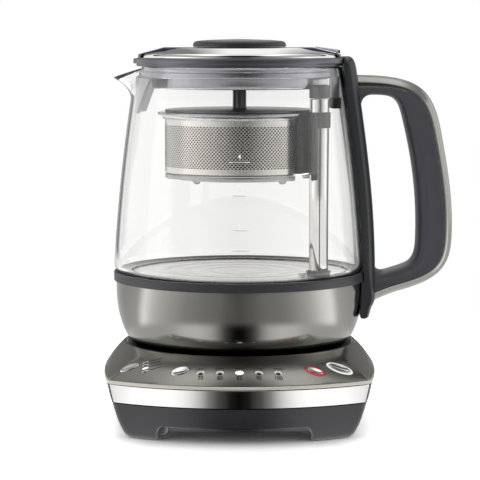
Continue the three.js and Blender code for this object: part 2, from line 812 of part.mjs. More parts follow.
function makeControlBoard() {
  const plate = skinned([
    planRing(controlBoardInset, controlBoardBottom + fitGap),
    planRing(controlBoardInset, controlBoardTop),
  ], true);
  return common(plate, block(-farReach, farReach, -farReach, -controlBoardBack, 0, farReach));
}

function makePowerBoard() {
  const bottom = powerBoardBottom + fitGap;
  return block(
    -powerBoardHalfWidth, powerBoardHalfWidth, -powerBoardHalfDepth, powerBoardHalfDepth,
    bottom, bottom + boardThickness,
  );
}

function makeSwitch({ x, y }) {
  return block(
    x - switchWidth / 2, x + switchWidth / 2, y - switchWidth / 2, y + switchWidth / 2,
    controlBoardTop, controlBoardTop + switchHeight,
  );
}

function makeButton(oval) {
  const cap = common(ovalPrism(oval), coverLayer(buttonRise, -buttonBodyDepth));
  const flange = common(
    ovalPrism(oval, buttonFlangeWidth),
    coverLayer(-buttonFlangeDrop, -buttonFlangeDrop - buttonFlangeThickness),
  );
  const stem = common(
    rod(oval.x, oval.y, buttonStemRadius, stemBottom, seatTop, tinySegments),
    coverLayer(-buttonBodyDepth / 2, -seatTop),
  );
  return join(cap, flange, stem);
}

function makeLightRing(oval) {
  const ring = common(ovalPrism(oval, fitGap + ringWidth), coverLayer(ringRise, -coverWall));
  return cut(ring, ovalPrism(oval, fitGap));
}

function makeLightGuide(windows) {
  const layerBottom = -guideDrop - guideThickness;
  const xs = windows.map(({ x }) => x);
  const ys = windows.map(({ y }) => y);
  const halfLength = windows[0].length / 2;
  const halfWidth = windows[0].width / 2;
  const area = block(
    Math.min(...xs) - halfLength, Math.max(...xs) + halfLength,
    Math.min(...ys) - halfWidth, Math.max(...ys) + halfWidth, 0, farReach,
  );
  const bar = common(area, coverLayer(-guideDrop, layerBottom));
  const studs = windows.map((oval) => common(ovalPrism(oval), coverLayer(windowRise, layerBottom)));
  return join(bar, ...studs);
}

// Jug
function bowlCurve(wall) {
  return new THREE.CubicBezierCurve(
    new THREE.Vector2(bowlTopRadius - wall, bowlTopHeight),
    new THREE.Vector2(bowlShoulderRadius - wall, bowlShoulderHeight),
    new THREE.Vector2(bowlHeelRadius - wall, bowlHeelHeight + wall),
    new THREE.Vector2(bowlBottomRadius, bowlBottomHeight + wall),
  ).getPoints(6).map(({ x, y }) => [x, y]);
}

function makeBowlBase() {
  const bottom = seatFloorTop + fitGap;
  const inner = socketRadius + fitGap;
  const outer = bowlBottomRadius - fitGap;
  return turned([
    [inner, bottom],
    [outer - (bowlBottomHeight - bottom), bottom],
    [outer, bowlBottomHeight],
    [outer, bottom + bowlBaseThickness],
    [inner, bottom + bowlBaseThickness],
  ]);
}

function makeJugConnector() {
  const bottom = bowlBottomHeight;
  const flangeBottom = seatFloorTop + bowlBaseThickness + 2 * fitGap;
  const cavity = collarOuterRadius + fitGap + fitGap;
  const boreRadius = connectorPinRadius + 2 * fitGap;
  const tubeBottom = connectorGrooveFloor + 2 * fitGap;
  return turned([
    [0, socketTop],
    [socketRadius, socketTop],
    [socketRadius, flangeBottom + socketFlangeThickness],
    [socketRadius + socketFlangeWidth, flangeBottom + socketFlangeThickness],
    [socketRadius + socketFlangeWidth, flangeBottom],
    [socketRadius, flangeBottom],
    [socketRadius, bottom],
    [cavity, bottom],
    [cavity, socketCavityTop],
    [connectorPlugRadius, socketCavityTop],
    [connectorPlugRadius, tubeBottom],
    [boreRadius, tubeBottom],
    [boreRadius, socketCavityTop],
    [0, socketCavityTop],
  ], connectorSegments);
}

const postX = postDistance * Math.cos(postAngle);
const postY = postDistance * Math.sin(postAngle);
const floorUnderside = floorTop - floorWall;

function makeJugFloor() {
  const plate = turned([
    [0, floorTop],
    [floorPlateauRadius, floorTop],
    [floorPlateauRadius, floorFlangeTop],
    [floorFlangeRadius, floorFlangeTop],
    [floorFlangeRadius, floorFlangeTop - floorFlangeThickness],
    [floorPlateauRadius - floorWall, floorFlangeTop - floorFlangeThickness],
    [floorPlateauRadius - floorWall, floorUnderside],
    [0, floorUnderside],
  ]);
  const holes = [
    rod(postX, postY, screwRadius + fitGap, floorUnderside - cutOverrun, floorTop + cutOverrun),
    rod(probeX, probeY, probeRadius + fitGap, floorUnderside - cutOverrun, floorTop + cutOverrun),
  ];
  return cut(plate, ...holes);
}

const sealBottom = floorFlangeTop;
const glassBellyHeight = glassFoot + glassHeelRadius;

const ringProfile = (inner, outer, bottom, top) =>
  [[inner, bottom], [outer, bottom], [outer, top], [inner, top]];

function makeHeatingElement() {
  const centre = floorUnderside - 2 * fitGap - heaterPlateThickness - heaterTubeRadius;
  const sides = 8;
  const profile = Array.from({ length: sides }, (_, i) => {
    const angle = (2 * Math.PI * i) / sides;
    return [
      heaterTubeRingRadius + heaterTubeRadius * Math.cos(angle),
      centre + heaterTubeRadius * Math.sin(angle),
    ];
  });
  return turned(profile, connectorSegments);
}

function makeProbe() {
  const bottom = floorTop + probeStandOut - probeLength;
  return rod(probeX, probeY, probeRadius, bottom, floorTop + probeStandOut, tinySegments);
}

// Outer radius of the glass at a height, without the spout
function glassRadius(height) {
  const rise = Math.max(0, (height - glassBellyHeight) / (glassRimHeight - glassBellyHeight));
  const taper = glassLeanShare * rise + (1 - glassLeanShare) * rise ** 2;
  return glassBellyRadius - (glassBellyRadius - glassRimRadius) * taper;
}

// Directions round the glass, closer together near the spout at -X
const spoutCrowding = 0.35;
const glassAngles = Array.from({ length: roundSegments }, (_, i) => {
  const turn = (2 * Math.PI * i) / roundSegments;
  return turn + spoutCrowding * Math.sin(turn);
});

// One level ring of the glass. Near the rim it leans out and dips towards the spout.
function glassRing(height, wall) {
  return glassAngles.map((angle) => {
    const fromSpout = Math.PI - Math.abs(Math.atan2(Math.sin(angle), Math.cos(angle)));
    const nearness = Math.max(0, 1 - fromSpout / spoutHalfAngle);
    const pull = nearness ** 2 * (3 - 2 * nearness);
    const rise = Math.max(0, (height - spoutStartHeight) / (glassRimHeight - spoutStartHeight));
    const radius = glassRadius(height) - wall + spoutReach * pull * rise ** spoutFlare;
    return [radius * Math.cos(angle), radius * Math.sin(angle), height - spoutDrop * pull * rise];
  });
}

// The room inside the glass, as wide as it is at a height
const insideGlass = (height) =>
  rod(0, 0, glassRadius(height) - glassWall - glassClearance, floorTop, height + cutOverrun, roundSegments);

// The rounded corner under the belly, from the foot upwards
function glassHeel(wall) {
  const steps = 3;
  return Array.from({ length: steps }, (_, i) => {
    const angle = (Math.PI / 2) * (i / steps);
    const radius = glassHeelRadius - wall;
    const centreRadius = glassBellyRadius - glassHeelRadius;
    return [centreRadius + radius * Math.sin(angle), glassBellyHeight - radius * Math.cos(angle)];
  });
}

const levelRing = (radius, height) =>
  glassAngles.map((angle) => [radius * Math.cos(angle), radius * Math.sin(angle), height]);

const glassShares = [0, 0.33, 0.67, 1];
const spoutShares = [0.35, 0.7, 1];

function glassLevels() {
  const lower = glassShares.map((share) => THREE.MathUtils.lerp(glassBellyHeight, spoutStartHeight, share));
  const upper = spoutShares.map((share) => THREE.MathUtils.lerp(spoutStartHeight, glassRimHeight, share));
  return [...lower, ...upper];
}

function makeGlass() {
  const outerHeel = glassHeel(0).map(([radius, height]) => levelRing(radius, height));
  const innerHeel = glassHeel(glassWall).map(([radius, height]) => levelRing(radius, height));
  const outer = glassLevels().map((height) => glassRing(height, 0));
  const inner = glassLevels().map((height) => glassRing(height, glassWall)).reverse();
  return skinned([
    levelRing(glassFootInnerRadius, glassFoot),
    ...outerHeel,
    ...outer,
    ...inner,
    ...innerHeel.reverse(),
    levelRing(glassFootInnerRadius, glassFoot + glassWall),
  ]);
}

function makeSpoutGuard() {
  const steps = 8;
  const guardTop = sleeveBottom - fitGap;
  const rings = [guardBottom, (guardBottom + guardTop) / 2, guardTop].map((height) => {
    const share = (height - guardBottom) / (guardTop - guardBottom);
    const halfAngle = THREE.MathUtils.lerp(guardBottomHalfAngle, guardTopHalfAngle, share);
    const outer = glassRadius(height) - glassWall - glassClearance;
    const at = (radius, i) => {
      const angle = Math.PI - halfAngle * (1 - (2 * i) / steps);
      return [radius * Math.cos(angle), radius * Math.sin(angle), height];
    };
    const outside = Array.from({ length: steps + 1 }, (_, i) => at(outer, i));
    const inside = Array.from({ length: steps + 1 }, (_, i) => at(outer - guardWall, steps - i));
    return [...outside, ...inside];
  });
  return skinned(rings, true);
}

// What the handle has to clear: the jug's outside, and the lid's way up
function jugEnvelope(gap) {
  const steps = 8;
  const top = rimCollarBottom - gap;
  const shares = Array.from({ length: steps }, (_, i) => (i + 1) / steps);
  const levels = shares.map((share) => THREE.MathUtils.lerp(lowerCollarTop, top, share));
  return turned([
    [0, bowlBottomHeight],
    ...bowlCurve(0).reverse().map(([radius, height]) => [radius + gap, height]),
    [lowerCollarRadius + gap, bowlTopHeight],
    [lowerCollarRadius + gap, lowerCollarTop + gap],
    ...levels.map((height) => [glassRadius(height) + gap, height]),
    [rimCollarRadius + gap, top],
    [rimCollarRadius + gap, rimCollarTop + fitGap],
    [lidRadius + gap, rimCollarTop + fitGap],
    [lidRadius + gap, handleTop + cutOverrun],
    [0, handleTop + cutOverrun],
  ]);
}

// The handle's outlines are shares of its reach out from the head and of its height above the root
function handlePoint([xShare, zShare]) {
  return new THREE.Vector2(
    THREE.MathUtils.lerp(handleHeadX, handleReach, xShare),
    THREE.MathUtils.lerp(handleRoot, handleTop, zShare),
  );
}

// A path of curves: each step names its control points and its end, and starts where the last one ended
function handlePath(startShares, stepShares) {
  const path = new THREE.CurvePath();
  let from = handlePoint(startShares);
  for (const shares of stepShares) {
    const points = shares.map(handlePoint);
    const curves = [THREE.LineCurve, THREE.QuadraticBezierCurve, THREE.CubicBezierCurve];
    path.add(new curves[points.length - 1](from, ...points));
    from = points.at(-1);
  }
  return path;
}

const loopEdge = handlePath([0.136, 0.928], [
  [[0.63, 0.925], [0.832, 0.906], [0.907, 0.725]],
  [[0.975, 0.564], [1.012, 0.45], [0.9985, 0.304]],
  [[0.9895, 0.1805], [0.84, 0.1425], [0.555, 0.1064]],
  [[0.4207, 0.0918], [0.271, 0.0595]],
]);

const fingerEdge = handlePath([0.166, 0.8106], [
  [[0.169, 0.8537], [0.271, 0.8537]],
  [[0.458, 0.8537], [0.5105, 0.8423], [0.555, 0.7777]],
  [[0.66, 0.627], [0.7126, 0.4813], [0.69, 0.304]],
  [[0.684, 0.212], [0.615, 0.209], [0.5105, 0.1938]],
  [[0.398, 0.179]],
  [[0.301, 0.168], [0.2934, 0.2153]],
  [[0.2844, 0.5003], [0.166, 0.8106]],
]);

const spineEdge = handlePath([0, 0.998], [
  [[0.054, 1]],
  [[0.1138, 0.9975], [0.127, 0.9265]],
  [[0.229, 0.6396], [0.286, 0.4497], [0.2964, 0.2153]],
  [[0.2994, 0.0887]],
  [[0.295, 0.0583], [0.2695, 0.0507]],
  [[0.235, 0]],
  [[0.166, 0]],
  [[0.166, 0.25]],
  [[0, 0.9]],
]);

const edgeSteps = 4;

// The loop's outer edge, moved in by a depth that runs from end to middle and back
function loopPoints(endDepth, middleDepth) {
  const points = loopEdge.getPoints(edgeSteps);
  return points.map((point, i) => {
    const before = points[Math.max(0, i - 1)];
    const after = points[Math.min(points.length - 1, i + 1)];
    const along = after.clone().sub(before).normalize();
    const middle = Math.sin((Math.PI * i) / (points.length - 1));
    const depth = THREE.MathUtils.lerp(endDepth, middleDepth, middle);
    return point.clone().addScaledVector(new THREE.Vector2(along.y, -along.x), depth);
  });
}

const outlineSlab = (points, halfWidth, bevel) => slab(new THREE.Shape(points), halfWidth, bevel);
const makeSpine = () => outlineSlab(spineEdge.getPoints(edgeSteps), handleFrameHalfWidth, handleBevel);
const makeFingerHole = () =>
  outlineSlab(fingerEdge.getPoints(edgeSteps), handleFrameHalfWidth + cutOverrun, 0);

function rodAlongX(level, radius, fromX, toX) {
  const geometry = rod(0, 0, radius, fromX, toX, tinySegments);
  return geometry.rotateY(Math.PI / 2).translate(0, 0, level);
}

const upperScrewLevel = (rimCollarBottom + rimCollarTop) / 2;
const upperScrewStart = sleeveInnerRadius + fitGap;
const screwHole = (start, level) =>
  rodAlongX(level, handleScrewRadius + fitGap, 0, start + handleScrewLength + fitGap);
const screwSeat = rodAlongX(
  upperScrewLevel, handleScrewHeadRadius + fitGap, 0, upperScrewStart + handleScrewHeadThickness + fitGap,
);

function makeHandleFrame() {
  const root = handlePoint([0.09, 0.5]);
  const inner = loopPoints(coverBandTop + fitGap, coverBandSide + fitGap);
  const loop = outlineSlab([...inner, root], handleLoopHalfWidth, handleBevel);
  const solid = cut(join(makeSpine(), loop), makeFingerHole(), jugEnvelope(handleGap));
  return cut(solid, screwHole(upperScrewStart, upperScrewLevel), screwHole(lowerScrewStart, lowerScrewLevel));
}

function makeHandleCover() {
  const outer = loopPoints(0, 0);
  const inner = loopPoints(coverBandTop, coverBandSide).reverse();
  const band = outlineSlab([...outer, ...inner], handleLoopHalfWidth, handleBevel / 2);
  const spine = makeSpine();
  return cut(band, spine, spine.clone().translate(fitGap, 0, 0));
}

// A pan head screw along X, its head towards the jug's axis
function makeHandleScrew(start, level) {
  const headEnd = start + handleScrewHeadThickness;
  const head = rodAlongX(level, handleScrewHeadRadius, start, headEnd);
  return join(head, rodAlongX(level, handleScrewRadius, headEnd - fitGap, start + handleScrewLength));
}

function makeSteelBowl() {
  const bowl = turned([...bowlCurve(0), ...bowlCurve(bowlWall).reverse()]);
  return cut(bowl, screwHole(lowerScrewStart, lowerScrewLevel));
}

function makeRimCollar() {
  const ring = turned([
    [sleeveInnerRadius, sleeveBottom],
    [sleeveRadius, sleeveBottom],
    [sleeveRadius, rimCollarBottom],
    [rimCollarRadius, rimCollarBottom],
    [rimCollarRadius, rimCollarTop],
    [sleeveInnerRadius, rimCollarTop],
  ]);
  return cut(ring, screwSeat, screwHole(upperScrewStart, upperScrewLevel));
}

// Lift post and drive, all on the post's axis
const onPost = (geometry) => geometry.translate(postX, postY, 0);
const postBottom = floorTop + fitGap;
const capBottom = postTop + fitGap;
const screwTop = postTop - postCapStubLength - 2 * fitGap;
const motorTop = floorUnderside - fitGap;
const motorHeadBottom = motorTop - motorHeadHeight;
const motorCanBottom = motorHeadBottom - motorCanHeight;

const makeLiftPost = () => onPost(turned(
  ringProfile(postBoreRadius, postRadius, postBottom, postTop), smallSegments,
));
const makePostFoot = () => onPost(turned(
  ringProfile(postRadius + fitGap, postFootRadius, postBottom, postBottom + postFootHeight), smallSegments,
));

function makePostCap() {
  const stubRadius = postBoreRadius - fitGap;
  const cap = onPost(turned([
    [0, postTop - postCapStubLength],
    [stubRadius, postTop - postCapStubLength],
    [stubRadius, capBottom],
    [postCapRadius, capBottom],
    [postCapRadius, postCapTop],
    [0, postCapTop],
  ], smallSegments));
  return common(cap, insideGlass(postCapTop));
}

const makePostBush = () => rod(postX, postY, postBushRadius, postCapTop + fitGap, sleeveBottom - fitGap);
const makeLiftScrew = () => rod(postX, postY, screwRadius, motorTop + fitGap, screwTop, tinySegments);
const makeCarriage = () => onPost(turned(ringProfile(
  screwRadius + carriageClearance, postBoreRadius - carriageClearance,
  clipBottom, clipBottom + carriageHeight,
), smallSegments));

function makeLiftMotor() {
  return onPost(turned([
    [0, motorCanBottom],
    [motorCanRadius, motorCanBottom],
    [motorCanRadius, motorHeadBottom],
    [motorHeadRadius, motorHeadBottom],
    [motorHeadRadius, motorTop],
    [0, motorTop],
  ], smallSegments));
}

// Tea basket
const cupTop = flangeTop - flangeThickness - fitGap;
const clipBottom = clipTop - clipHeight;
const spineInner = cupRadius + fitGap;

// A wedge of a ring about the jug's axis, centred on the post
function sector(inner, outer, halfAngle, bottom, top) {
  const steps = 6;
  const at = (radius, share, height) => {
    const angle = postAngle + halfAngle * (2 * share - 1);
    return [radius * Math.cos(angle), radius * Math.sin(angle), height];
  };
  const ring = (height) => [
    ...Array.from({ length: steps + 1 }, (_, i) => at(outer, i / steps, height)),
    ...Array.from({ length: steps + 1 }, (_, i) => at(inner, 1 - i / steps, height)),
  ];
  return skinned([ring(bottom), ring(top)], true);
}

function makeBasketTopRing() {
  const ring = turned(ringProfile(flangeInnerRadius, flangeRadius, flangeTop - flangeThickness, flangeTop));
  const sideGap = (2 * fitGap) / spineInner;
  return cut(ring, sector(
    spineInner - fitGap, flangeRadius + cutOverrun, spineHalfAngle + sideGap,
    flangeTop - flangeThickness - cutOverrun, flangeTop + cutOverrun,
  ));
}

function makeBasketCup() {
  return turned([
    [0, cupBottom],
    [cupRadius, cupBottom],
    [cupRadius, cupTop],
    [cupRadius - cupWall, cupTop],
    [cupRadius - cupWall, cupBottom + cupWall],
    [0, cupBottom + cupWall],
  ]);
}

function makeBasketBottomRing() {
  const top = cupBottom - fitGap;
  const ring = turned([
    [bottomRingInnerRadius, bottomRingBottom],
    [bottomRingRadius, bottomRingBottom],
    [cupRadius, top],
    [bottomRingInnerRadius, top],
  ]);
  const bumps = Array.from({ length: bumpCount }, (_, i) => {
    const angle = Math.PI / 2 + (2 * Math.PI * i) / bumpCount;
    const middle = (bottomRingBottom + top) / 2;
    const bump = rod(0, 0, bumpRadius, bottomRingBottom - bumpHeight, middle, tinySegments);
    return bump.translate(bumpDistance * Math.cos(angle), bumpDistance * Math.sin(angle), 0);
  });
  return join(ring, ...bumps);
}

const magnetInner = spineInner + (spineThickness - magnetThickness) / 2;
const magnetBottom = clipTop - fitGap - magnetHeight;
const magnetBlock = (grow, top) => block(
  magnetInner - grow, magnetInner + magnetThickness + grow,
  -magnetHalfWidth - grow, magnetHalfWidth + grow, magnetBottom - grow, top,
).rotateZ(postAngle);

function makeBasketArm() {
  const spine = sector(spineInner, spineInner + spineThickness, spineHalfAngle, spineBottom, clipTop);
  const clearRadius = postRadius + clipClearance;
  const clip = onPost(turned([
    [0, clipBottom],
    [clearRadius + clipWall, clipBottom],
    [clearRadius + clipWall, clipTop],
    [0, clipTop],
  ], smallSegments));
  const bore = rod(postX, postY, clearRadius, spineBottom - cutOverrun, clipTop + cutOverrun);
  const inCup = rod(0, 0, spineInner, spineBottom - cutOverrun, clipTop + cutOverrun, roundSegments);
  const arm = common(join(spine, clip), insideGlass(clipTop));
  return cut(arm, bore, inCup, magnetBlock(fitGap, clipTop + cutOverrun));
}

const makeBasketMagnet = () => magnetBlock(0, magnetBottom + magnetHeight);

function makeBasketLid() {
  const bottom = flangeTop + fitGap;
  const discTop = bottom + basketLidThickness;
  const stemTop = discTop + stemHeight;
  return turned([
    [0, bottom],
    [basketLidRadius, bottom],
    [basketLidRadius, discTop],
    [stemRadius, discTop],
    [stemRadius, stemTop],
    [0, stemTop],
  ], roundSegments);
}

// Lid
function makeLidBody() {
  const edge = rimCollarTop + fitGap;
  const deckBottom = lidDeckTop - lidDeckThickness;
  const guideInner = stemRadius + stemGuideClearance;
  const grooveRadius = plugRadius - grooveDepth;
  const body = turned([
    [0, lidDeckTop],
    [lidRadius - lidEdgeWall, lidDeckTop],
    [lidRadius - lidEdgeWall, lidEdgeTop],
    [lidRadius, lidEdgeTop],
    [lidRadius, edge],
    [plugRadius, edge],
    [plugRadius, grooveTop],
    [grooveRadius, grooveTop],
    [grooveRadius, grooveBottom],
    [plugRadius, grooveBottom],
    [plugRadius, plugBottom],
    [skirtRadius, plugBottom],
    [skirtRadius, skirtBottom],
    [skirtRadius - skirtWall, skirtBottom],
    [skirtRadius - skirtWall, deckBottom],
    [guideInner + stemGuideWall, deckBottom],
    [guideInner + stemGuideWall, stemGuideBottom],
    [guideInner, stemGuideBottom],
    [guideInner, deckBottom],
    [0, deckBottom],
  ]);
  return cut(body, rod(postX, postY, postCapRadius + 2 * fitGap, skirtBottom - cutOverrun, plugBottom));
}

const makeLidGasket = () => turned(ringProfile(
  plugRadius - grooveDepth + fitGap, gasketRadius, grooveBottom + fitGap, grooveTop - fitGap,
));

// The dome's upper face, from its rim to the middle
function domeArc(lift) {
  const steps = 3;
  const rim = plateRimHeight + plateWall;
  return Array.from({ length: steps + 1 }, (_, i) => {
    const radius = plateRadius * (1 - i / steps);
    return [radius, rim + lift + plateCrown * (1 - (radius / plateRadius) ** 2)];
  });
}

const makeLidPlate = () => turned([...domeArc(0), ...domeArc(-plateWall).reverse()]);
const makeDomeCutter = () => turned([
  ...domeArc(fitGap),
  [0, sleeveBottom],
  [lidRadius, sleeveBottom],
  [lidRadius, plateRimHeight + plateWall + fitGap],
].reverse());

const wingSlope = (bridgeTop - bridgeEndTop) / (bridgeReach - bridgeFlatRight);
const wingTop = (x) => bridgeTop - wingSlope * (x - bridgeFlatRight);

function makeLidBridge() {
  const bar = outlineSlab([
    new THREE.Vector2(-bridgeReach, lidDeckTop),
    new THREE.Vector2(bridgeReach, lidDeckTop),
    new THREE.Vector2(bridgeReach, bridgeEndTop),
    new THREE.Vector2(bridgeFlatRight, bridgeTop),
    new THREE.Vector2(-bridgeFlatLeft, bridgeTop),
    new THREE.Vector2(-bridgeReach, bridgeEndTop),
  ], bridgeHalfWidth, 0);
  const hub = rod(0, 0, bridgeHubRadius, lidDeckTop, bridgeTop, roundSegments);
  const inLid = rod(0, 0, plateRadius, lidDeckTop, bridgeTop, roundSegments);
  return cut(common(join(bar, hub), inLid), makeDomeCutter());
}

function makeLidKnob() {
  const bottom = bridgeTop + fitGap;
  return turned([
    [0, bottom],
    [knobRadius, bottom],
    [knobRadius, knobSideHeight],
    [knobShoulderRadius, knobEdgeTop],
    [0, knobTop],
  ]);
}

function makeLidTab() {
  const start = wingTop(tabStart) + fitGap;
  const end = wingTop(tabEnd) + fitGap;
  return outlineSlab([
    new THREE.Vector2(tabStart, start),
    new THREE.Vector2(tabEnd, end),
    new THREE.Vector2(tabEnd, end + tabEndThickness),
    new THREE.Vector2(tabStart, start + tabStartThickness),
  ], tabHalfWidth, 0);
}

// Assembly
function addPieces(parent, pieces) {
  for (const [name, geometry, material] of pieces) {
    const mesh = new THREE.Mesh(geometry, material.clone());
    mesh.name = name;
    parent.add(mesh);
  }
  return parent;
}

const powerBase = addPieces(new THREE.Group(), [
  ['base_tray', makeTray(), charcoal],
  ['base_housing', makeHousing(), blackPlastic],
  ['front_trim', makeTrim(), polishedSteel],
  ['top_cover', makeTopCover(), smokedMetal],
  ['seat_ring', makeSeatRing(), blackPlastic],
  ['power_connector', makePowerConnector(), blackPlastic],
  ['control_board', makeControlBoard(), circuitGreen],
  ['power_board', makePowerBoard(), circuitGreen],
  ['warm_ring', makeLightRing(controls.warm), redLight],
  ['start_ring', makeLightRing(controls.start), whiteLight],
  ['strength_lights', makeLightGuide(strengthWindows), whiteLight],
  ['temperature_lights', makeLightGuide(temperatureWindows), whiteLight],
  ...Object.entries(controls).map(([name, oval]) => [`${name}_switch`, makeSwitch(oval), blackPlastic]),
  ...footPlaces.map(([name, x, y]) => [name, rod(x, y, footRadius, 0, footHeight - fitGap), rubber]),
]);

const turningCollar = addPieces(new THREE.Group(), [
  ['connector_collar', makeConnectorCollar(), greyPlastic],
]);

const buttons = addPieces(new THREE.Group(), Object.entries(controls).map(
  ([name, oval]) => [`${name}_button`, makeButton(oval), silverPlastic],
));

const jug = addPieces(new THREE.Group(), [
  ['steel_bowl', makeSteelBowl(), smokedMetal],
  ['bowl_base', makeBowlBase(), blackPlastic],
  ['jug_connector', makeJugConnector(), blackPlastic],
  ['jug_floor', makeJugFloor(), brushedSteel],
  ['floor_seal', turned(ringProfile(
    sealInnerRadius, floorFlangeRadius - fitGap, sealBottom, sealBottom + sealThickness,
  )), silicone],
  ['lower_collar', turned(ringProfile(
    lowerCollarInnerRadius, lowerCollarRadius, bowlTopHeight, lowerCollarTop,
  )), charcoal],
  ['heater_plate', rod(
    0, 0, heaterPlateRadius,
    floorUnderside - fitGap - heaterPlateThickness, floorUnderside - fitGap, roundSegments,
  ), aluminium],
  ['heating_element', makeHeatingElement(), aluminium],
  ['temperature_probe', makeProbe(), brushedSteel],
  ['glass_jug', makeGlass(), clearGlass],
  ['rim_collar', makeRimCollar(), charcoal],
  ['spout_guard', makeSpoutGuard(), greyPlastic],
  ['handle_frame', makeHandleFrame(), charcoal],
  ['handle_cover', makeHandleCover(), smokedMetal],
  ['handle_screw_upper', makeHandleScrew(upperScrewStart, upperScrewLevel), brushedSteel],
  ['handle_screw_lower', makeHandleScrew(lowerScrewStart, lowerScrewLevel), brushedSteel],
  ['lift_post', makeLiftPost(), brushedSteel],
  ['post_foot', makePostFoot(), charcoal],
  ['post_cap', makePostCap(), greyPlastic],
  ['post_bush', makePostBush(), whiteLight],
  ['lift_motor', makeLiftMotor(), aluminium],
]);

const drive = addPieces(new THREE.Group(), [
  ['lift_screw', makeLiftScrew(), brushedSteel],
  ['magnet_carriage', makeCarriage(), magnetMetal],
]);

const basket = addPieces(new THREE.Group(), [
  ['basket_top_ring', makeBasketTopRing(), charcoal],
  ['basket_cup', makeBasketCup(), brushedSteel],
  ['basket_bottom_ring', makeBasketBottomRing(), charcoal],
  ['basket_arm', makeBasketArm(), greyPlastic],
  ['basket_magnet', makeBasketMagnet(), magnetMetal],
  ['basket_lid', makeBasketLid(), charcoal],
]);

const lid = addPieces(new THREE.Group(), [
  ['lid_body', makeLidBody(), charcoal],
  ['lid_gasket', makeLidGasket(), silicone],
  ['lid_plate', makeLidPlate(), polishedSteel],
  ['lid_bridge', makeLidBridge(), charcoal],
  ['lid_knob', makeLidKnob(), charcoal],
  ['lid_tab', makeLidTab(), greyPlastic],
]);

// The origin is under the middle of the bounding box, at the feet
const teaMaker = new THREE.Group();
teaMaker.add(powerBase, turningCollar, buttons, jug, drive, basket, lid);
teaMaker.position.set((baseHalfWidth - handleReach) / 2, (baseFrontReach - baseBackReach) / 2, 0);

export default teaMaker;
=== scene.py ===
import bisect
import math

import bmesh
import bpy
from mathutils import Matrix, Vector


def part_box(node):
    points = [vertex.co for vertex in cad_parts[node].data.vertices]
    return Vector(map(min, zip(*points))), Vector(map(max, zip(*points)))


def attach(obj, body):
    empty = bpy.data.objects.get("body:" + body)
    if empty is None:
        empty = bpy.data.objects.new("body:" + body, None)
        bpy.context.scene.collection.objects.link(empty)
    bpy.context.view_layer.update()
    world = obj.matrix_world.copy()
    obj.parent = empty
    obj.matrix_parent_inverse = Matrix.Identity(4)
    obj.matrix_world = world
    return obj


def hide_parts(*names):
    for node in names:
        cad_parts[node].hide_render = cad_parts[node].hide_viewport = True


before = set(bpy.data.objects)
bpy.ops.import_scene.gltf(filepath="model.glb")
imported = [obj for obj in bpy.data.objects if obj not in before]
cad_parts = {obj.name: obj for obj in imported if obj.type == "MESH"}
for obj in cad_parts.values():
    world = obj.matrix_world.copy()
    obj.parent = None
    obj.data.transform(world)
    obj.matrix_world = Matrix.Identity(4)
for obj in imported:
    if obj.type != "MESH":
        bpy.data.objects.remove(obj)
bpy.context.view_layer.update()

# Every piece is drawn in millimetres about the jug's axis:
# X to the handle, -Y to the front, Z up from the table
bowlLow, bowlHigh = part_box("steel_bowl")
jugAxis = Vector(((bowlLow.x + bowlHigh.x) / 2, (bowlLow.y + bowlHigh.y) / 2, 0))
seam = 0.3  # the gap between fitted pieces, in millimetres
print("frame loaded")


# Colours and nodes
def linear(hexCode, alpha=1.0):
    channels = [int(hexCode[i:i + 2], 16) / 255 for i in (1, 3, 5)]
    return tuple(c / 12.92 if c <= 0.04045 else ((c + 0.055) / 1.055) ** 2.4 for c in channels) + (alpha,)


def addNode(tree, kind, settings=None):
    # a setting is a property, an input's value, a socket that the input is linked from,
    # or the grey levels of a ramp as "stops"
    node = tree.nodes.new(kind)
    for key, value in (settings or {}).items():
        if isinstance(value, bpy.types.NodeSocket):
            tree.links.new(value, node.inputs[key])
        elif key == "stops":
            for place, level in value:
                ends = {0: 0, 1: -1}
                ramp = node.color_ramp.elements
                stop = ramp[ends[place]] if place in ends else ramp.new(place)
                stop.color = (level, level, level, 1)
        elif isinstance(key, int) or key in node.inputs:
            node.inputs[key].default_value = value
        else:
            setattr(node, key, value)
    return node


finishes = {}  # name: (material, the record's slot)


def newFinish(name, slotName, settings):
    material = bpy.data.materials.new(name)
    material.use_nodes = True
    tree = material.node_tree
    tree.nodes.clear()
    shader = addNode(tree, "ShaderNodeBsdfPrincipled", settings)
    addNode(tree, "ShaderNodeOutputMaterial", {"Surface": shader.outputs[0]})
    finishes[name] = (material, slotName)
    return tree, shader


def fineNoise(tree, grainSize, stretch=(1, 1, 1), detail=2.0):
    # noise whose grain is grainSize millimetres across
    place = addNode(tree, "ShaderNodeTexCoord")
    scaled = addNode(tree, "ShaderNodeMapping", {"Scale": stretch, "Vector": place.outputs["Object"]})
    return addNode(tree, "ShaderNodeTexNoise", {
        "Scale": 1000 / grainSize, "Detail": detail, "Vector": scaled.outputs[0],
    })


def variedRoughness(tree, shader, noise, low, high):
    # noise lies mostly between 0.3 and 0.7
    spread = addNode(tree, "ShaderNodeMapRange", {
        "From Min": 0.3, "From Max": 0.7, "To Min": low, "To Max": high, "Value": noise.outputs["Fac"],
    })
    tree.links.new(spread.outputs[0], shader.inputs["Roughness"])


def fineBump(tree, shader, noise, depth, strength=1.0):
    # a relief of depth millimetres
    bump = addNode(tree, "ShaderNodeBump", {
        "Strength": strength, "Distance": depth / 1000, "Height": noise.outputs["Fac"],
    })
    tree.links.new(bump.outputs[0], shader.inputs["Normal"])


# Moulded plastics
def mouldedPlastic(name, slotName, hexCode, roughness, grainDepth, grainSize=0.45):
    # ABS from a spark-eroded mould: a soft sheen that a fine pebble grain breaks up
    tree, shader = newFinish(name, slotName, {"Base Color": linear(hexCode), "IOR": 1.52})
    noise = fineNoise(tree, grainSize)
    variedRoughness(tree, shader, noise, roughness - 0.05, roughness + 0.05)
    fineBump(tree, shader, noise, grainDepth)


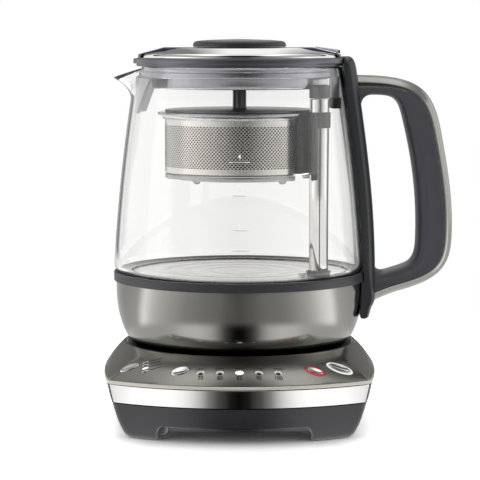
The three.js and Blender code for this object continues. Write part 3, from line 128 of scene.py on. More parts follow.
mouldedPlastic("charcoal_abs", "charcoal_plastic", "#2d2c31", 0.38, 0.0015)
mouldedPlastic("spine_abs", "charcoal_plastic", "#2b2c31", 0.3, 0.001)
mouldedPlastic("charcoal_grip", "charcoal_plastic", "#44444a", 0.4, 0.002)
mouldedPlastic("black_abs", "black_plastic", "#141415", 0.3, 0.001)
mouldedPlastic("grey_abs", "grey_plastic", "#66666a", 0.36, 0.0015)
mouldedPlastic("pale_grey_abs", "grey_plastic", "#c4c3c6", 0.34, 0.001)
mouldedPlastic("milky_abs", "white_light", "#ffffff", 0.35, 0.001)


def flakedPlastic(name, slotName, hexCode, metallic, roughness):
    # ABS filled with graphite and metal flake: dark head-on, with a broad soft sheen towards the lamps
    tree, shader = newFinish(name, slotName, {
        "Base Color": linear(hexCode), "Metallic": metallic, "IOR": 1.52,
    })
    noise = fineNoise(tree, 0.3)
    variedRoughness(tree, shader, noise, roughness - 0.04, roughness + 0.04)
    fineBump(tree, shader, noise, 0.0005)


flakedPlastic("graphite_abs", "charcoal_plastic", "#6b6b70", 0.9, 0.32)
flakedPlastic("lid_abs", "charcoal_plastic", "#a2a2a8", 0.98, 0.17)
flakedPlastic("basket_abs", "charcoal_plastic", "#acadae", 0.98, 0.22)
flakedPlastic("slider_abs", "grey_plastic", "#505151", 0.6, 0.34)
flakedPlastic("guard_abs", "grey_plastic", "#b2b2b8", 0.7, 0.32)
# a pale copy of the cover's smoked finish for its rim edge: a painted highlight for the light that its lip
# catches
flakedPlastic("painted_highlight_edge", "smoked_plastic", "#d2cdc5", 0.4, 0.5)


# Metals
def coatedSteel(name, slotName, hexCode, roughness, lineSize=0.5):
    # Stainless steel, polished and then coated smoke-grey in a vacuum:
    # a dark mirror, a little blurred by fine lines
    tree, shader = newFinish(name, slotName, {"Base Color": linear(hexCode), "Metallic": 1.0})
    noise = fineNoise(tree, lineSize, (0.02, 0.02, 1.0), 3.0)
    variedRoughness(tree, shader, noise, roughness - 0.025, roughness + 0.025)
    fineBump(tree, shader, noise, 0.0006)


coatedSteel("smoked_steel", "smoked_steel", "#9a9994", 0.13)
coatedSteel("smoked_panel", "smoked_plastic", "#97968f", 0.24)
coatedSteel("smoked_band", "smoked_plastic", "#a2a19c", 0.24)


def plainMetal(name, slotName, hexCode, low, high, grainSize, stretch=(1, 1, 1), depth=0.0005):
    tree, shader = newFinish(name, slotName, {"Base Color": linear(hexCode), "Metallic": 1.0})
    noise = fineNoise(tree, grainSize, stretch, 3.0)
    variedRoughness(tree, shader, noise, low, high)
    fineBump(tree, shader, noise, depth)


# Chrome plate mirrors the room sharply; drawn steel and cast aluminium blur it along their lines and grains
plainMetal("chrome_plate", "chrome", "#ecebe9", 0.03, 0.06, 1.5, depth=0.0001)
plainMetal("drawn_steel", "steel", "#e2e1de", 0.06, 0.1, 0.4, (1, 1, 0.03), 0.0002)
plainMetal("spun_steel", "steel", "#c9c7c3", 0.16, 0.24, 0.4, (0.05, 0.05, 1))
plainMetal("etched_steel", "steel", "#e0ddd7", 0.2, 0.28, 0.3)
# a dark sheet for behind the strainer's holes: painted shade for the dark inside of the basket
plainMetal("shade_liner", "steel", "#1f1f20", 0.35, 0.45, 0.12, depth=0.01)
plainMetal("cast_aluminium", "aluminium", "#b4b6b9", 0.35, 0.5, 0.8, depth=0.004)
plainMetal("nickel_plate", "magnet", "#9fa1a4", 0.2, 0.3, 0.6)
plainMetal("silver_lacquer", "silver_plastic", "#e4e3e1", 0.08, 0.12, 0.25, depth=0.0001)


# Rubbers, lights, boards and inks
def softRubber(name, slotName, hexCode, roughness):
    # Moulded silicone and rubber: matt, with a dry bloom that takes the gloss off
    tree, shader = newFinish(name, slotName, {"Base Color": linear(hexCode), "IOR": 1.43})
    noise = fineNoise(tree, 0.7)
    variedRoughness(tree, shader, noise, roughness - 0.08, roughness + 0.08)
    fineBump(tree, shader, noise, 0.006)


softRubber("moulded_silicone", "silicone", "#2c2c2e", 0.68)
softRubber("foot_rubber", "foot_rubber", "#1d1d1e", 0.85)


def lightLens(name, slotName, hexCode, glow):
    # Milky acrylic light guide, frosted inside, so that it glows evenly
    tree, shader = newFinish(name, slotName, {
        "Base Color": linear(hexCode), "IOR": 1.49,
        "Emission Color": linear(hexCode), "Emission Strength": glow,
    })
    variedRoughness(tree, shader, fineNoise(tree, 0.5), 0.2, 0.32)


lightLens("red_lens", "red_light", "#b3222a", 0.25)
lightLens("white_lens", "white_light", "#f1f1f0", 0.1)
lightLens("lit_lens", "white_light", "#ffffff", 0.6)
lightLens("dim_lens", "white_light", "#c9c9c6", 0.0)


def circuitBoard():
    # Glass-fibre board under solder mask: satin green, with copper tracks showing through as paler lines
    tree, shader = newFinish("solder_mask", "circuit_board", {"Roughness": 0.35})
    place = addNode(tree, "ShaderNodeTexCoord")
    tracks = addNode(tree, "ShaderNodeTexBrick", {
        "Scale": 1000 / 12, "Color1": linear("#1f5e38"), "Color2": linear("#246a40"),
        "Mortar": linear("#4a8a55"), "Mortar Size": 0.03, "Vector": place.outputs["Object"],
    })
    tree.links.new(tracks.outputs["Color"], shader.inputs["Base Color"])


def printInk(name, slotName, hexCode):
    # Screen-printed ink: an opaque satin film with slightly starved edges
    tree, shader = newFinish(name, slotName, {"Base Color": linear(hexCode), "IOR": 1.5})
    variedRoughness(tree, shader, fineNoise(tree, 0.3), 0.45, 0.6)


circuitBoard()
printInk("dark_ink", "black_plastic", "#1b1b1c")
printInk("pale_ink", "white_light", "#f4f4f4")


def heatProofGlass():
    # Borosilicate glass, blown and fire-polished: clear, with dark edges and very faint waves from the mould
    tree, shader = newFinish("borosilicate_glass", "glass", {
        "Base Color": linear("#fcfcfb"), "Roughness": 0.0, "IOR": 1.47, "Transmission Weight": 1.0,
    })
    waves = fineNoise(tree, 60, detail=0.0)
    fineBump(tree, shader, waves, 0.1, 0.1)

    # shadow rays go straight through, so that the lamps light what is inside
    rays = addNode(tree, "ShaderNodeLightPath")
    clear = addNode(tree, "ShaderNodeBsdfTransparent", {"Color": (0.96, 0.96, 0.96, 1)})
    mixed = addNode(tree, "ShaderNodeMixShader", {
        0: rays.outputs["Is Shadow Ray"], 1: shader.outputs[0], 2: clear.outputs[0],
    })
    output = next(node for node in tree.nodes if node.type == "OUTPUT_MATERIAL")
    tree.links.new(mixed.outputs[0], output.inputs["Surface"])


heatProofGlass()
print("finishes mixed")


# Shapes, as (points in millimetres, faces)
def pieceObject(name, shape, finish, body, replaced=(), sharpAngle=35):
    points, faces = shape
    placed = [(x / 1000 + jugAxis.x, y / 1000 + jugAxis.y, z / 1000) for x, y, z in points]
    mesh = bpy.data.meshes.new(name)
    mesh.from_pydata(placed, [], faces)
    tidyMesh(mesh, sharpAngle)
    return ridingObject(name, mesh, finish, body, replaced)


def tidyMesh(mesh, sharpAngle=35):
    work = bmesh.new()
    work.from_mesh(mesh)
    bmesh.ops.remove_doubles(work, verts=work.verts, dist=2e-6)
    bmesh.ops.recalc_face_normals(work, faces=work.faces)
    for edge in work.edges:
        edge.smooth = edge.calc_face_angle(0) < math.radians(sharpAngle)
    for face in work.faces:
        face.smooth = True
    work.to_mesh(mesh)
    work.free()


def ridingObject(name, mesh, finish, body, replaced=()):
    material, slotName = finishes[finish]
    mesh.materials.clear()
    mesh.materials.append(material)
    piece = bpy.data.objects.new(name, mesh)
    bpy.context.collection.objects.link(piece)
    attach(piece, body)
    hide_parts(*replaced)
    return piece


def joined(*shapes):
    points, faces = [], []
    for shapePoints, shapeFaces in shapes:
        faces += [tuple(index + len(points) for index in face) for face in shapeFaces]
        points += shapePoints
    return points, faces


def softened(corners, fillet, closed=None):
    # rounds the corners of a run of points. A corner's third number is a fillet of its own
    closed = corners[0][0] > 0 if closed is None else closed
    path, steps = [], 4
    for i, corner in enumerate(corners):
        here = Vector(corner[:2])
        radius = corner[2] if len(corner) == 3 else fillet
        if radius == 0 or (not closed and i in (0, len(corners) - 1)):
            path.append(tuple(here))
            continue
        toBefore = Vector(corners[i - 1][:2]) - here
        toAfter = Vector(corners[(i + 1) % len(corners)][:2]) - here
        start = here + toBefore.normalized() * min(radius, toBefore.length * 0.45)
        end = here + toAfter.normalized() * min(radius, toAfter.length * 0.45)
        for step in range(steps + 1):
            share = step / steps
            path.append(tuple(start * (1 - share) ** 2 + here * 2 * share * (1 - share) + end * share ** 2))
    return path


def turned(profile, segments=160, centre=(0, 0), sweep=None):
    # turns (radius, height) points about an upright axis. sweep is (first angle, last angle) in degrees
    closed = profile[0][0] > 0
    start, end = sweep or (0, 360)
    first, whole = math.radians(start), math.radians(end - start)
    columns = segments if sweep is None else segments + 1
    count = len(profile)
    points, faces = [], []
    for i in range(columns):
        angle = first + whole * i / segments
        points += [(centre[0] + r * math.cos(angle), centre[1] + r * math.sin(angle), z) for r, z in profile]
    for i in range(segments):
        j = (i + 1) % columns
        for k in range(count if closed else count - 1):
            m = (k + 1) % count
            faces.append((i * count + k, j * count + k, j * count + m, i * count + m))
    if sweep is not None:
        faces += [tuple(range(count)), tuple(range((columns - 1) * count, columns * count))]
    return points, faces


def skinned(rings, capped=False, closedRings=True):
    # skins rings of equal length. The last ring meets the first, or both ends are capped
    count = len(rings[0])
    points = [point for ring in rings for point in ring]
    faces = []
    for r in range(len(rings) - 1 if capped else len(rings)):
        s = (r + 1) % len(rings)
        for k in range(count if closedRings else count - 1):
            m = (k + 1) % count
            faces.append((r * count + k, r * count + m, s * count + m, s * count + k))
    if capped:
        faces += [tuple(range(count)), tuple(range((len(rings) - 1) * count, len(rings) * count))]
    return points, faces


def openStrip(rings):
    # skins rings of points along an open run, and closes its two ends
    count, last = len(rings[0]), len(rings)
    points, faces = skinned(rings, closedRings=False)
    ends = [tuple(r * count for r in range(last)), tuple(r * count + count - 1 for r in range(last))]
    return points, faces + ends


def turnedPiece(name, profile, finish, body, replaced=(), fillet=0.3, segments=240):
    pieceObject(name, turned(softened(profile, fillet), segments), finish, body, replaced)


def rod(x, y, radius, bottom, top, segments=48, fillet=0.3):
    profile = softened([(0, bottom), (radius, bottom), (radius, top), (0, top)], fillet)
    return turned(profile, segments, (x, y))


def evaluatedMesh(piece):
    return bpy.data.meshes.new_from_object(piece.evaluated_get(bpy.context.evaluated_depsgraph_get()))


def cutAway(shape, cutters, operation="DIFFERENCE", selfCrossing=True):
    # the shape less the cutters, as (points, faces)
    objects = []
    for points, faces in (shape, joined(*cutters)):
        mesh = bpy.data.meshes.new("cut")
        mesh.from_pydata(points, [], faces)
        tidyMesh(mesh)
        objects.append(bpy.data.objects.new("cut", mesh))
        bpy.context.collection.objects.link(objects[-1])
    whole, knife = objects
    boolean = whole.modifiers.new("cut", "BOOLEAN")
    boolean.operation = operation
    boolean.object = knife
    boolean.solver = "EXACT"
    boolean.use_self = selfCrossing
    result = evaluatedMesh(whole)
    points = [tuple(vertex.co) for vertex in result.vertices]
    faces = [tuple(polygon.vertices) for polygon in result.polygons]
    for piece in objects:
        bpy.data.objects.remove(piece)
    return points, faces


def lerp(a, b, share):
    return a + (b - a) * share


# Plan of the power base: a rounded square of large arcs
basePlan = {
    "halfWidth": 82,
    "frontReach": 90.3,
    "backReach": 82.4,
    "frontArc": 136,
    "sideArc": 409,
    "backArc": 240,
    "frontCorner": 7,
    "backCorner": 18,
}
frontCentre = Vector((0, basePlan["frontArc"] - basePlan["frontReach"]))
sideCentre = Vector((basePlan["halfWidth"] - basePlan["sideArc"], 0))
backCentre = Vector((0, basePlan["backReach"] - basePlan["backArc"]))


def crossing(centreA, radiusA, centreB, radiusB):
    # the crossing of two circles that lies furthest to +X
    along = centreB - centreA
    near = (radiusA ** 2 - radiusB ** 2 + along.length_squared) / (2 * along.length)
    off = math.sqrt(radiusA ** 2 - near ** 2)
    along.normalize()
    middle = centreA + along * near
    across = Vector((-along.y, along.x))
    return max(middle + across * off, middle - across * off, key=lambda point: point.x)


def arc(centre, radius, start, end, steps):
    angles = [lerp(start, end, i / steps) for i in range(steps)]
    return [(centre.x + radius * math.cos(a), centre.y + radius * math.sin(a)) for a in angles]


def angleFrom(centre, point):
    return math.atan2(point.y - centre.y, point.x - centre.x)


def planOutline(inset):
    # from the middle of the front round by way of +X
    front, side, back = (basePlan[key] - inset for key in ("frontArc", "sideArc", "backArc"))
    frontRound, backRound = basePlan["frontCorner"], basePlan["backCorner"]
    frontCorner = crossing(frontCentre, front - frontRound, sideCentre, side - frontRound)
    backCorner = crossing(backCentre, back - backRound, sideCentre, side - backRound)
    frontTurn, sideFront = angleFrom(frontCentre, frontCorner), angleFrom(sideCentre, frontCorner)
    backTurn, sideBack = angleFrom(backCentre, backCorner), angleFrom(sideCentre, backCorner)
    right = (
        arc(frontCentre, front, -math.pi / 2, frontTurn, 52)
        + arc(frontCorner, frontRound, frontTurn, sideFront, 10)
        + arc(sideCentre, side, sideFront, 0, 14)
        + arc(sideCentre, side, 0, sideBack, 12)
        + arc(backCorner, backRound, sideBack, backTurn, 12)
        + arc(backCentre, back, backTurn, math.pi / 2, 24)
    )
    left = [(-x, y) for x, y in reversed(right[1:])]
    return right + [(0, basePlan["backReach"] - inset)] + left


def planRing(inset, height):
    return [(x, y, height) for x, y in planOutline(inset)]


# Top cover: its slope runs from the rim up to the round seat
cover = {
    "rimTop": 35,
    "lipBottom": 33.2,
    "lipFillet": 0.55,
    "seatTop": 49.9,
    "seatRadius": 70.2,
    "crown": 1.2,
    "wall": 1.9,
    "panelInset": 0.5,
    "edgeInset": 0.6,
    "seatDrop": 0.25,
}
rimOutline = planOutline(0)
# angles go from the front round by way of +X
rimAngles = [math.atan2(x, -y) % (2 * math.pi) for x, y in rimOutline] + [2 * math.pi]
rimReaches = [math.hypot(x, y) for x, y in rimOutline + rimOutline[:1]]


def rimReach(x, y):
    angle = math.atan2(x, -y) % (2 * math.pi)
    i = min(max(bisect.bisect_right(rimAngles, angle), 1), len(rimAngles) - 1)
    share = (angle - rimAngles[i - 1]) / (rimAngles[i] - rimAngles[i - 1])
    return lerp(rimReaches[i - 1], rimReaches[i], share)


def slopeHeight(share):
    return lerp(cover["rimTop"], cover["seatTop"], share) + 4 * cover["crown"] * share * (1 - share)


def coverHeight(x, y):
    reach = rimReach(x, y)
    return slopeHeight((reach - math.hypot(x, y)) / (reach - cover["seatRadius"]))


def coverRing(share, shift=0):
    ring = []
    for x, y in rimOutline:
        reach = math.hypot(x, y)
        scale = lerp(reach, cover["seatRadius"], share) / reach
        ring.append((x * scale, y * scale, slopeHeight(share) + shift))
    return ring


controls = {
    "strength": {"x": -63.9, "y": -61.5, "length": 11.2, "width": 4.8, "ring": None},
    "temperature": {"x": -34.1, "y": -76.4, "length": 10.6, "width": 4.8, "ring": None},
    "warm": {"x": 43.7, "y": -73.4, "length": 8.6, "width": 3.2, "ring": "red_lens"},
    "start": {"x": 58.1, "y": -65.1, "length": 12.6, "width": 5.2, "ring": "white_lens"},
}
caps = {"rise": 0.5, "dish": 0.35, "depth": 3, "ringWidth": 1.1, "ringRise": 0.2, "ringDepth": 1.8}
windows = {
    "strengthX": -54.6,
    "strengthFrontY": -69.4,
    "strengthPitch": 2.75,
    "strengthSize": (3.6, 1.3),
    "temperaturePitch": 11.15,
    "temperatureSetback": 8.2,
    "temperatureSize": (5, 2.2),
    "clearance": 0.2,
    "rise": 0.08,
    "depth": 2.4,
    "maskShares": (0.55, 0.72),
    "maskShift": 0.38,
    "maskRise": 0.12,
    "maskDepth": 0.2,
}
windowArc = basePlan["frontArc"] - windows["temperatureSetback"]
strengthWindows = [(windows["strengthX"], windows["strengthFrontY"] + i * windows["strengthPitch"])
                   for i in range(4)]
temperatureWindows = [(x, frontCentre.y - math.sqrt(windowArc ** 2 - x ** 2))
                      for x in (windows["temperaturePitch"] * (i - 2) for i in range(5))]
windowSets = {
    "strength": {"places": strengthWindows, "size": windows["strengthSize"], "lit": 1},
    "temperature": {"places": temperatureWindows, "size": windows["temperatureSize"], "lit": 2},
}


def ovalPrism(x, y, length, width, bottom=20, top=60, segments=48):
    ring = [(x + length / 2 * math.cos(a), y + width / 2 * math.sin(a))
            for a in (2 * math.pi * i / segments for i in range(segments))]
    return skinned([[(px, py, z) for px, py in ring] for z in (bottom, top)], capped=True)


def makeCover():
    rim, lip, wall = cover["rimTop"], cover["lipBottom"], cover["wall"]
    upperShares = [0.03, 0.08, 0.14, 0.2, 0.28, 0.36, 0.44, 0.52, 0.6, 0.68, 0.76, 0.84, 0.92, 0.98]
    rings = [
        planRing(cover["panelInset"], lip),
        planRing(cover["panelInset"], rim + 0.05),
        planRing(cover["edgeInset"], rim + 0.3),
        *[coverRing(share) for share in upperShares],
        coverRing(1.0, -cover["seatDrop"]),
        *[coverRing(share, -wall) for share in (1.0, 0.75, 0.5, 0.25)],
        planRing(wall, rim - wall),
        planRing(wall, lip),
    ]
    cutters = []
    for control in controls.values():
        growth = 2 * (caps["ringWidth"] + 2 * seam if control["ring"] else seam)
        length, width = control["length"] + growth, control["width"] + growth
        cutters.append(ovalPrism(control["x"], control["y"], length, width))
    for windowSet in windowSets.values():
        length, width = (side + windows["clearance"] for side in windowSet["size"])
        cutters += [ovalPrism(x, y, length, width, segments=32) for x, y in windowSet["places"]]
    panel = cutAway(skinned(rings), cutters)
    pieceObject("top_panel", panel, "smoked_panel", "base", ["top_cover"], 28)

    # the cover's rim edge, pale all round: a painted highlight for the light that the lip catches, as
    # (inset, height) points
    edgeProfile = [(0.3, lip), (0, lip + 0.3), (0, rim - cover["lipFillet"]), (0.1, rim - 0.2),
                   (0.45, rim + 0.15), (cover["edgeInset"], rim), (cover["edgeInset"], lip)]
    edge = skinned([planRing(inset, height) for inset, height in edgeProfile])
    pieceObject("panel_edge", edge, "painted_highlight_edge", "base", sharpAngle=50)


makeCover()


# Tray: a shell whose skirt is arched in front and at the back, with a sunk pan under the power board
tray = {
    "top": 21.5,
    "bottom": 0.8,
    "wall": 2.4,
    "insets": [(0.8, 12.6), (1.8, 11.2), (3.2, 10.1), (5, 9.2), (7, 8.2), (9.8, 7), (13, 5.9), (16.6, 4.8),
               (21.5, 3.6)],  # each with its height first
    "guideInset": 9,
    "lipInset": 0.5,
    "lipDrop": 0.35,
    "archFrom": 45,
    "archLeft": -43.6,
    "archRight": 37.4,
    "archFlank": 8,
    "archTop": 9.8,
    "plateBottom": 11.2,
    "plateTop": 13.4,
    "plateInsets": (9.2, 8.6),
    "panHalf": (44, 40),
    "panBottom": 2.2,
    "footX": 52,
    "footY": 50,
    "footRadius": 7.5,
    "bossRadius": 9.5,
    "bossBottom": 1.2,
    "bossTop": 12,
    "bossFlare": 0.6,
}
footPad = {"dimpleRadius": 3.5, "dimple": 0.35, "treadInner": 4.2, "top": 2.7}
footPlaces = [(f"foot_{end}_{side}", x, y)
              for end, y in (("front", -tray["footY"]), ("back", tray["footY"]))
              for side, x in (("left", -tray["footX"]), ("right", tray["footX"]))]


def trayInset(height):
    table = tray["insets"]
    for (lowZ, lowInset), (highZ, highInset) in zip(table, table[1:]):
        if height <= highZ:
            return lerp(lowInset, highInset, max(0, (height - lowZ) / (highZ - lowZ)))
    return table[-1][1]


def skirtBottom(x, y):
    # the skirt's lower edge, up in an arch at the front and the back
    if abs(y) < tray["archFrom"]:
        return tray["bottom"]
    if x < tray["archLeft"]:
        share = (x - tray["archLeft"] + tray["archFlank"]) / tray["archFlank"]
    elif x > tray["archRight"]:
        share = (tray["archRight"] + tray["archFlank"] - x) / tray["archFlank"]
    else:
        share = 1
    share = min(1, max(0, share))
    return lerp(tray["bottom"], tray["archTop"], 1 - (1 - share) ** 2)


def roundedBlock(halfX, halfY, bottom, top, corner=4, edge=1.2):
    def ring(inset, height):
        points = []
        for quarter in range(4):
            signX, signY = [(1, 1), (-1, 1), (-1, -1), (1, -1)][quarter]
            for step in range(7):
                angle = math.pi / 2 * (quarter + step / 6)
                points.append((signX * (halfX - corner) + (corner - inset) * math.cos(angle),
                               signY * (halfY - corner) + (corner - inset) * math.sin(angle), height))
        return points
    rings = [ring(edge, bottom), ring(edge * 0.3, bottom + edge * 0.3), ring(0, bottom + edge), ring(0, top)]
    return skinned(rings, capped=True)


def makeTray():
    bottoms = [skirtBottom(x, y) for x, y in planOutline(tray["guideInset"])]
    outlines = {}

    def wallRing(depth, share):
        ring = []
        for i, bottom in enumerate(bottoms):
            height = lerp(tray["top"], bottom, share)
            inset = round(trayInset(height) + depth, 2)
            if inset not in outlines:
                outlines[inset] = planOutline(inset)
            ring.append((*outlines[inset][i], height))
        return ring
    shares = [i / 16 for i in range(17)]
    outer = [wallRing(0, share) for share in shares]
    inner = [wallRing(tray["wall"], share) for share in reversed(shares)]
    lips = [wallRing(tray["lipInset"], 1.0), wallRing(tray["wall"] - tray["lipInset"], 1.0)]
    lowered = [[(x, y, z - tray["lipDrop"]) for x, y, z in ring] for ring in lips]
    shell = skinned([*outer, *lowered, *inner])
    plateHeights = (tray["plateBottom"], tray["plateTop"])
    plate = skinned([planRing(inset, z) for inset, z in zip(tray["plateInsets"], plateHeights)], capped=True)
    pan = roundedBlock(*tray["panHalf"], tray["panBottom"], tray["plateTop"])
    boss = softened([(0, tray["bossBottom"]), (tray["bossRadius"], tray["bossBottom"]),
                     (tray["bossRadius"] + tray["bossFlare"], tray["bossTop"]), (0, tray["bossTop"])], 0.8)
    bosses = [turned(boss, 48, (x, y)) for _, x, y in footPlaces]
    pieceObject("tray_shell", joined(shell, plate, pan, *bosses), "charcoal_abs", "base", ["base_tray"], 40)


def makeFeet():
    radius, top = tray["footRadius"], footPad["top"]
    profile = softened([(0, footPad["dimple"]), (footPad["dimpleRadius"], footPad["dimple"], 0.2),
                        (footPad["treadInner"], 0, 0.2), (radius, 0, 0.7), (radius, top), (0, top)], 0.3)
    for name, x, y in footPlaces:
        pieceObject(f"{name}_pad", turned(profile, 40, (x, y)), "foot_rubber", "base", [name])


makeTray()
makeFeet()


# Band between tray and cover: black all round, with a chromed strip across the front
band = {
    "bottom": 21.8,
    "top": 32.9,
    "topInset": 0.5,
    "bottomInset": 3,
    "trimWall": 1.4,
    "wall": 2.2,
    "skinOverlap": 1,
    "trimEnd": 66.3,
    "slit": 0.6,
}


def bandStrip(kept, outerDepth, innerDepth, bottom, top, fillet):
    # a strip of the leaning wall along the kept points of the outline
    corners = [(outerDepth, bottom), (outerDepth, top), (innerDepth, top), (innerDepth, bottom)]
    rings = []
    for depth, height in softened(corners, fillet, closed=True):
        rise = (height - band["bottom"]) / (band["top"] - band["bottom"])
        outline = planOutline(lerp(band["bottomInset"], band["topInset"], rise) + depth)
        rings.append([(*outline[i], height) for i in kept])
    return skinned(rings) if len(kept) == len(rimOutline) else openStrip(rings)


def makeBand():
    low, high, trimWall = band["bottom"], band["top"], band["trimWall"]
    frontPart = [i for i, (_, y) in enumerate(rimOutline) if y < -band["trimEnd"]]
    split = next(k for k in range(len(frontPart) - 1) if frontPart[k + 1] - frontPart[k] > 1)
    frontPart = frontPart[split + 1:] + frontPart[:split + 1]
    rest = [i for i, (_, y) in enumerate(rimOutline) if y > -band["trimEnd"] + band["slit"]]
    allRound = list(range(len(rimOutline)))
    core = bandStrip(allRound, trimWall + seam, trimWall + band["wall"], low, high, 0.3)
    skin = bandStrip(rest, 0, trimWall + band["skinOverlap"], low, high, 0.4)
    pieceObject("black_band", joined(core, skin), "black_abs", "base", ["base_housing"])
    strip = bandStrip(frontPart, 0, trimWall, low + seam, high, 0.45)
    pieceObject("chrome_strip", strip, "chrome_plate", "base", ["front_trim"], 60)


makeBand()


# Seat dish and cordless connector. Profiles are (radius, height) points, and a third number is that
# point's own fillet
seat = {
    "floor": 41,
    "wall": 2,
    "dishTop": 68.6,
    "dishFloor": 60.2,
    "rimDrop": 0.2,
    "edgeDrop": 2.6,
    "connector": 15.5,
    "plug": [(0, 50), (2.5, 50, 0.8), (2.5, 44), (8, 44), (8, 49), (13.1, 49, 0.6), (15.5, 46.6, 1.0),
             (15.5, 39), (20, 39), (20, 36.8), (0, 36.8)],
    "collar": [(15.8, 41.3), (18.4, 41.3), (18.4, 44.9, 0.8), (15.8, 44.9, 0.8)],
}


def makeSeat():
    edge, hole = cover["seatRadius"] - seam, seat["connector"] + seam
    rim, under = cover["seatTop"] - seat["rimDrop"], seat["floor"] - seat["wall"]
    dish = turned(softened([
        (hole, seat["floor"], 0.3),
        (seat["dishFloor"], seat["floor"], 3.5),
        (seat["dishTop"], rim, 1.2),
        (edge, rim, 0.5),
        (edge, cover["seatTop"] - seat["edgeDrop"]),
        (seat["dishFloor"] + seat["wall"], under),
        (hole, under),
    ], 0.5), 192)
    pieceObject("seat_dish", dish, "black_abs", "base", ["seat_ring"])
    turnedPiece("connector_plug", seat["plug"], "black_abs", "base", ["power_connector"], 0.25, 96)
    turnedPiece("swivel_collar", seat["collar"], "grey_abs", "turning_collar", ["connector_collar"], 0.3, 96)


makeSeat()


# Buttons, light rings and windows follow the cover's slope
def slopedOval(x, y, halfLength, halfWidth, lift, segments):
    ring = []
    for i in range(segments):
        angle = 2 * math.pi * i / segments
        px, py = x + halfLength * math.cos(angle), y + halfWidth * math.sin(angle)
        ring.append((px, py, coverHeight(px, py) + lift))
    return ring


def ovalCap(x, y, length, width, rise, dish, depth):
    # an oval cap with a rounded edge. dish is how far its middle is sunk
    rows = [(0.02, rise - dish), (0.35, rise - dish * 0.9), (0.65, rise - dish * 0.55),
            (0.85, rise - dish * 0.12), (0.93, rise), (0.975, rise - 0.08), (1.0, rise - 0.3), (1.0, -depth)]
    rings = [slopedOval(x, y, length / 2 * share, width / 2 * share, lift, 48) for share, lift in rows]
    return skinned(rings, capped=True)


def ovalRing(x, y, length, width, inner, outer, rise, depth):
    corners = [(inner, -depth), (inner, rise), (outer, rise), (outer, -depth)]
    return skinned([slopedOval(x, y, length / 2 + growth, width / 2 + growth, lift, 64)
                    for growth, lift in softened(corners, 0.25, closed=True)])


def makeButtons():
    for name, control in controls.items():
        oval = [control[key] for key in ("x", "y", "length", "width")]
        cap = ovalCap(*oval, caps["rise"], caps["dish"], caps["depth"])
        pieceObject(f"{name}_cap", cap, "silver_lacquer", f"{name}_button", [f"{name}_button"])
        if control["ring"]:
            ring = ovalRing(*oval, seam, seam + caps["ringWidth"], caps["ringRise"], caps["ringDepth"])
            pieceObject(f"{name}_light_ring", ring, control["ring"], "base", [f"{name}_ring"])


makeButtons()


def windowLens(x, y, length, width):
    return ovalCap(x, y, length, width, windows["rise"], 0, windows["depth"])


def windowMask(x, y, length, width):
    alongShare, acrossShare = windows["maskShares"]
    return ovalCap(x, y - width * windows["maskShift"], length * alongShare, width * acrossShare,
                   windows["maskRise"], 0, windows["maskDepth"])


def makeWindows():
    # the unlit windows are half masked, so that they look like half-moons
    masks = []
    for name, windowSet in windowSets.items():
        places, size = windowSet["places"], windowSet["size"]
        lit = places[windowSet["lit"]]
        plain = [place for place in places if place != lit]
        lenses = joined(*[windowLens(*place, *size) for place in plain])
        pieceObject(f"{name}_lenses", lenses, "dim_lens", "base", [f"{name}_lights"])
        pieceObject(f"chosen_{name}_lens", windowLens(*lit, *size), "lit_lens", "base")
        masks += [windowMask(*place, *size) for place in plain]
    pieceObject("window_masks", joined(*masks), "dark_ink", "base")


makeWindows()


# Print: thin films of ink that follow the cover and the glass
film = {"clearance": 0.02, "thickness": 0.04, "boldness": 0.03, "figureShare": 0.7}


def flatText(words, height):
    # some figures, centred, as flat (points, faces), about height tall
    curve = bpy.data.curves.new("print", "FONT")
    curve.body = words
    curve.size = height / film["figureShare"]
    curve.align_x = "CENTER"
    curve.align_y = "CENTER"
    curve.resolution_u = 3
    curve.offset = film["boldness"] * height
    holder = bpy.data.objects.new("print", curve)
    bpy.context.collection.objects.link(holder)
    mesh = evaluatedMesh(holder)
    points = [(vertex.co.x, vertex.co.y) for vertex in mesh.vertices]
    faces = [tuple(polygon.vertices) for polygon in mesh.polygons]
    bpy.data.objects.remove(holder)
    return points, faces


def printedFilm(flatShapes, placePoint):
    # gives flat shapes a thin body on a surface. placePoint takes (u, v, lift)
    under, over = film["clearance"], film["clearance"] + film["thickness"]
    points, faces = [], []
    for flatPoints, flatFaces in flatShapes:
        base, count = len(points), len(flatPoints)
        points += [placePoint(u, v, over) for u, v in flatPoints]
        points += [placePoint(u, v, under) for u, v in flatPoints]
        edges = {}
        for face in flatFaces:
            faces.append(tuple(base + index for index in face))
            faces.append(tuple(base + count + index for index in reversed(face)))
            for a, b in zip(face, face[1:] + face[:1]):
                edges[(a, b)] = (b, a) not in edges and (a, b) not in edges
                if (b, a) in edges:
                    edges[(b, a)] = edges[(a, b)] = False
        for (a, b), rim in edges.items():
            if rim:
                faces.append((base + b, base + a, base + count + a, base + count + b))
    return points, faces


def moved(flatShape, u, v):
    return [(px + u, py + v) for px, py in flatShape[0]], flatShape[1]


def flatBar(u, v, width, height):
    return [(u - width / 2, v - height / 2), (u + width / 2, v - height / 2),
            (u + width / 2, v + height / 2), (u - width / 2, v + height / 2)], [(0, 1, 2, 3)]


panelPrint = {
    "numbers": ["70", "80", "85", "90", "100"],
    "height": 2.3,
    "drop": 3.3,
    "tickRise": 2.5,
    "tickLength": 5.2,
    "dashShift": 6.2,
    "dashLength": 6.4,
    "lineWidth": 0.5,
}


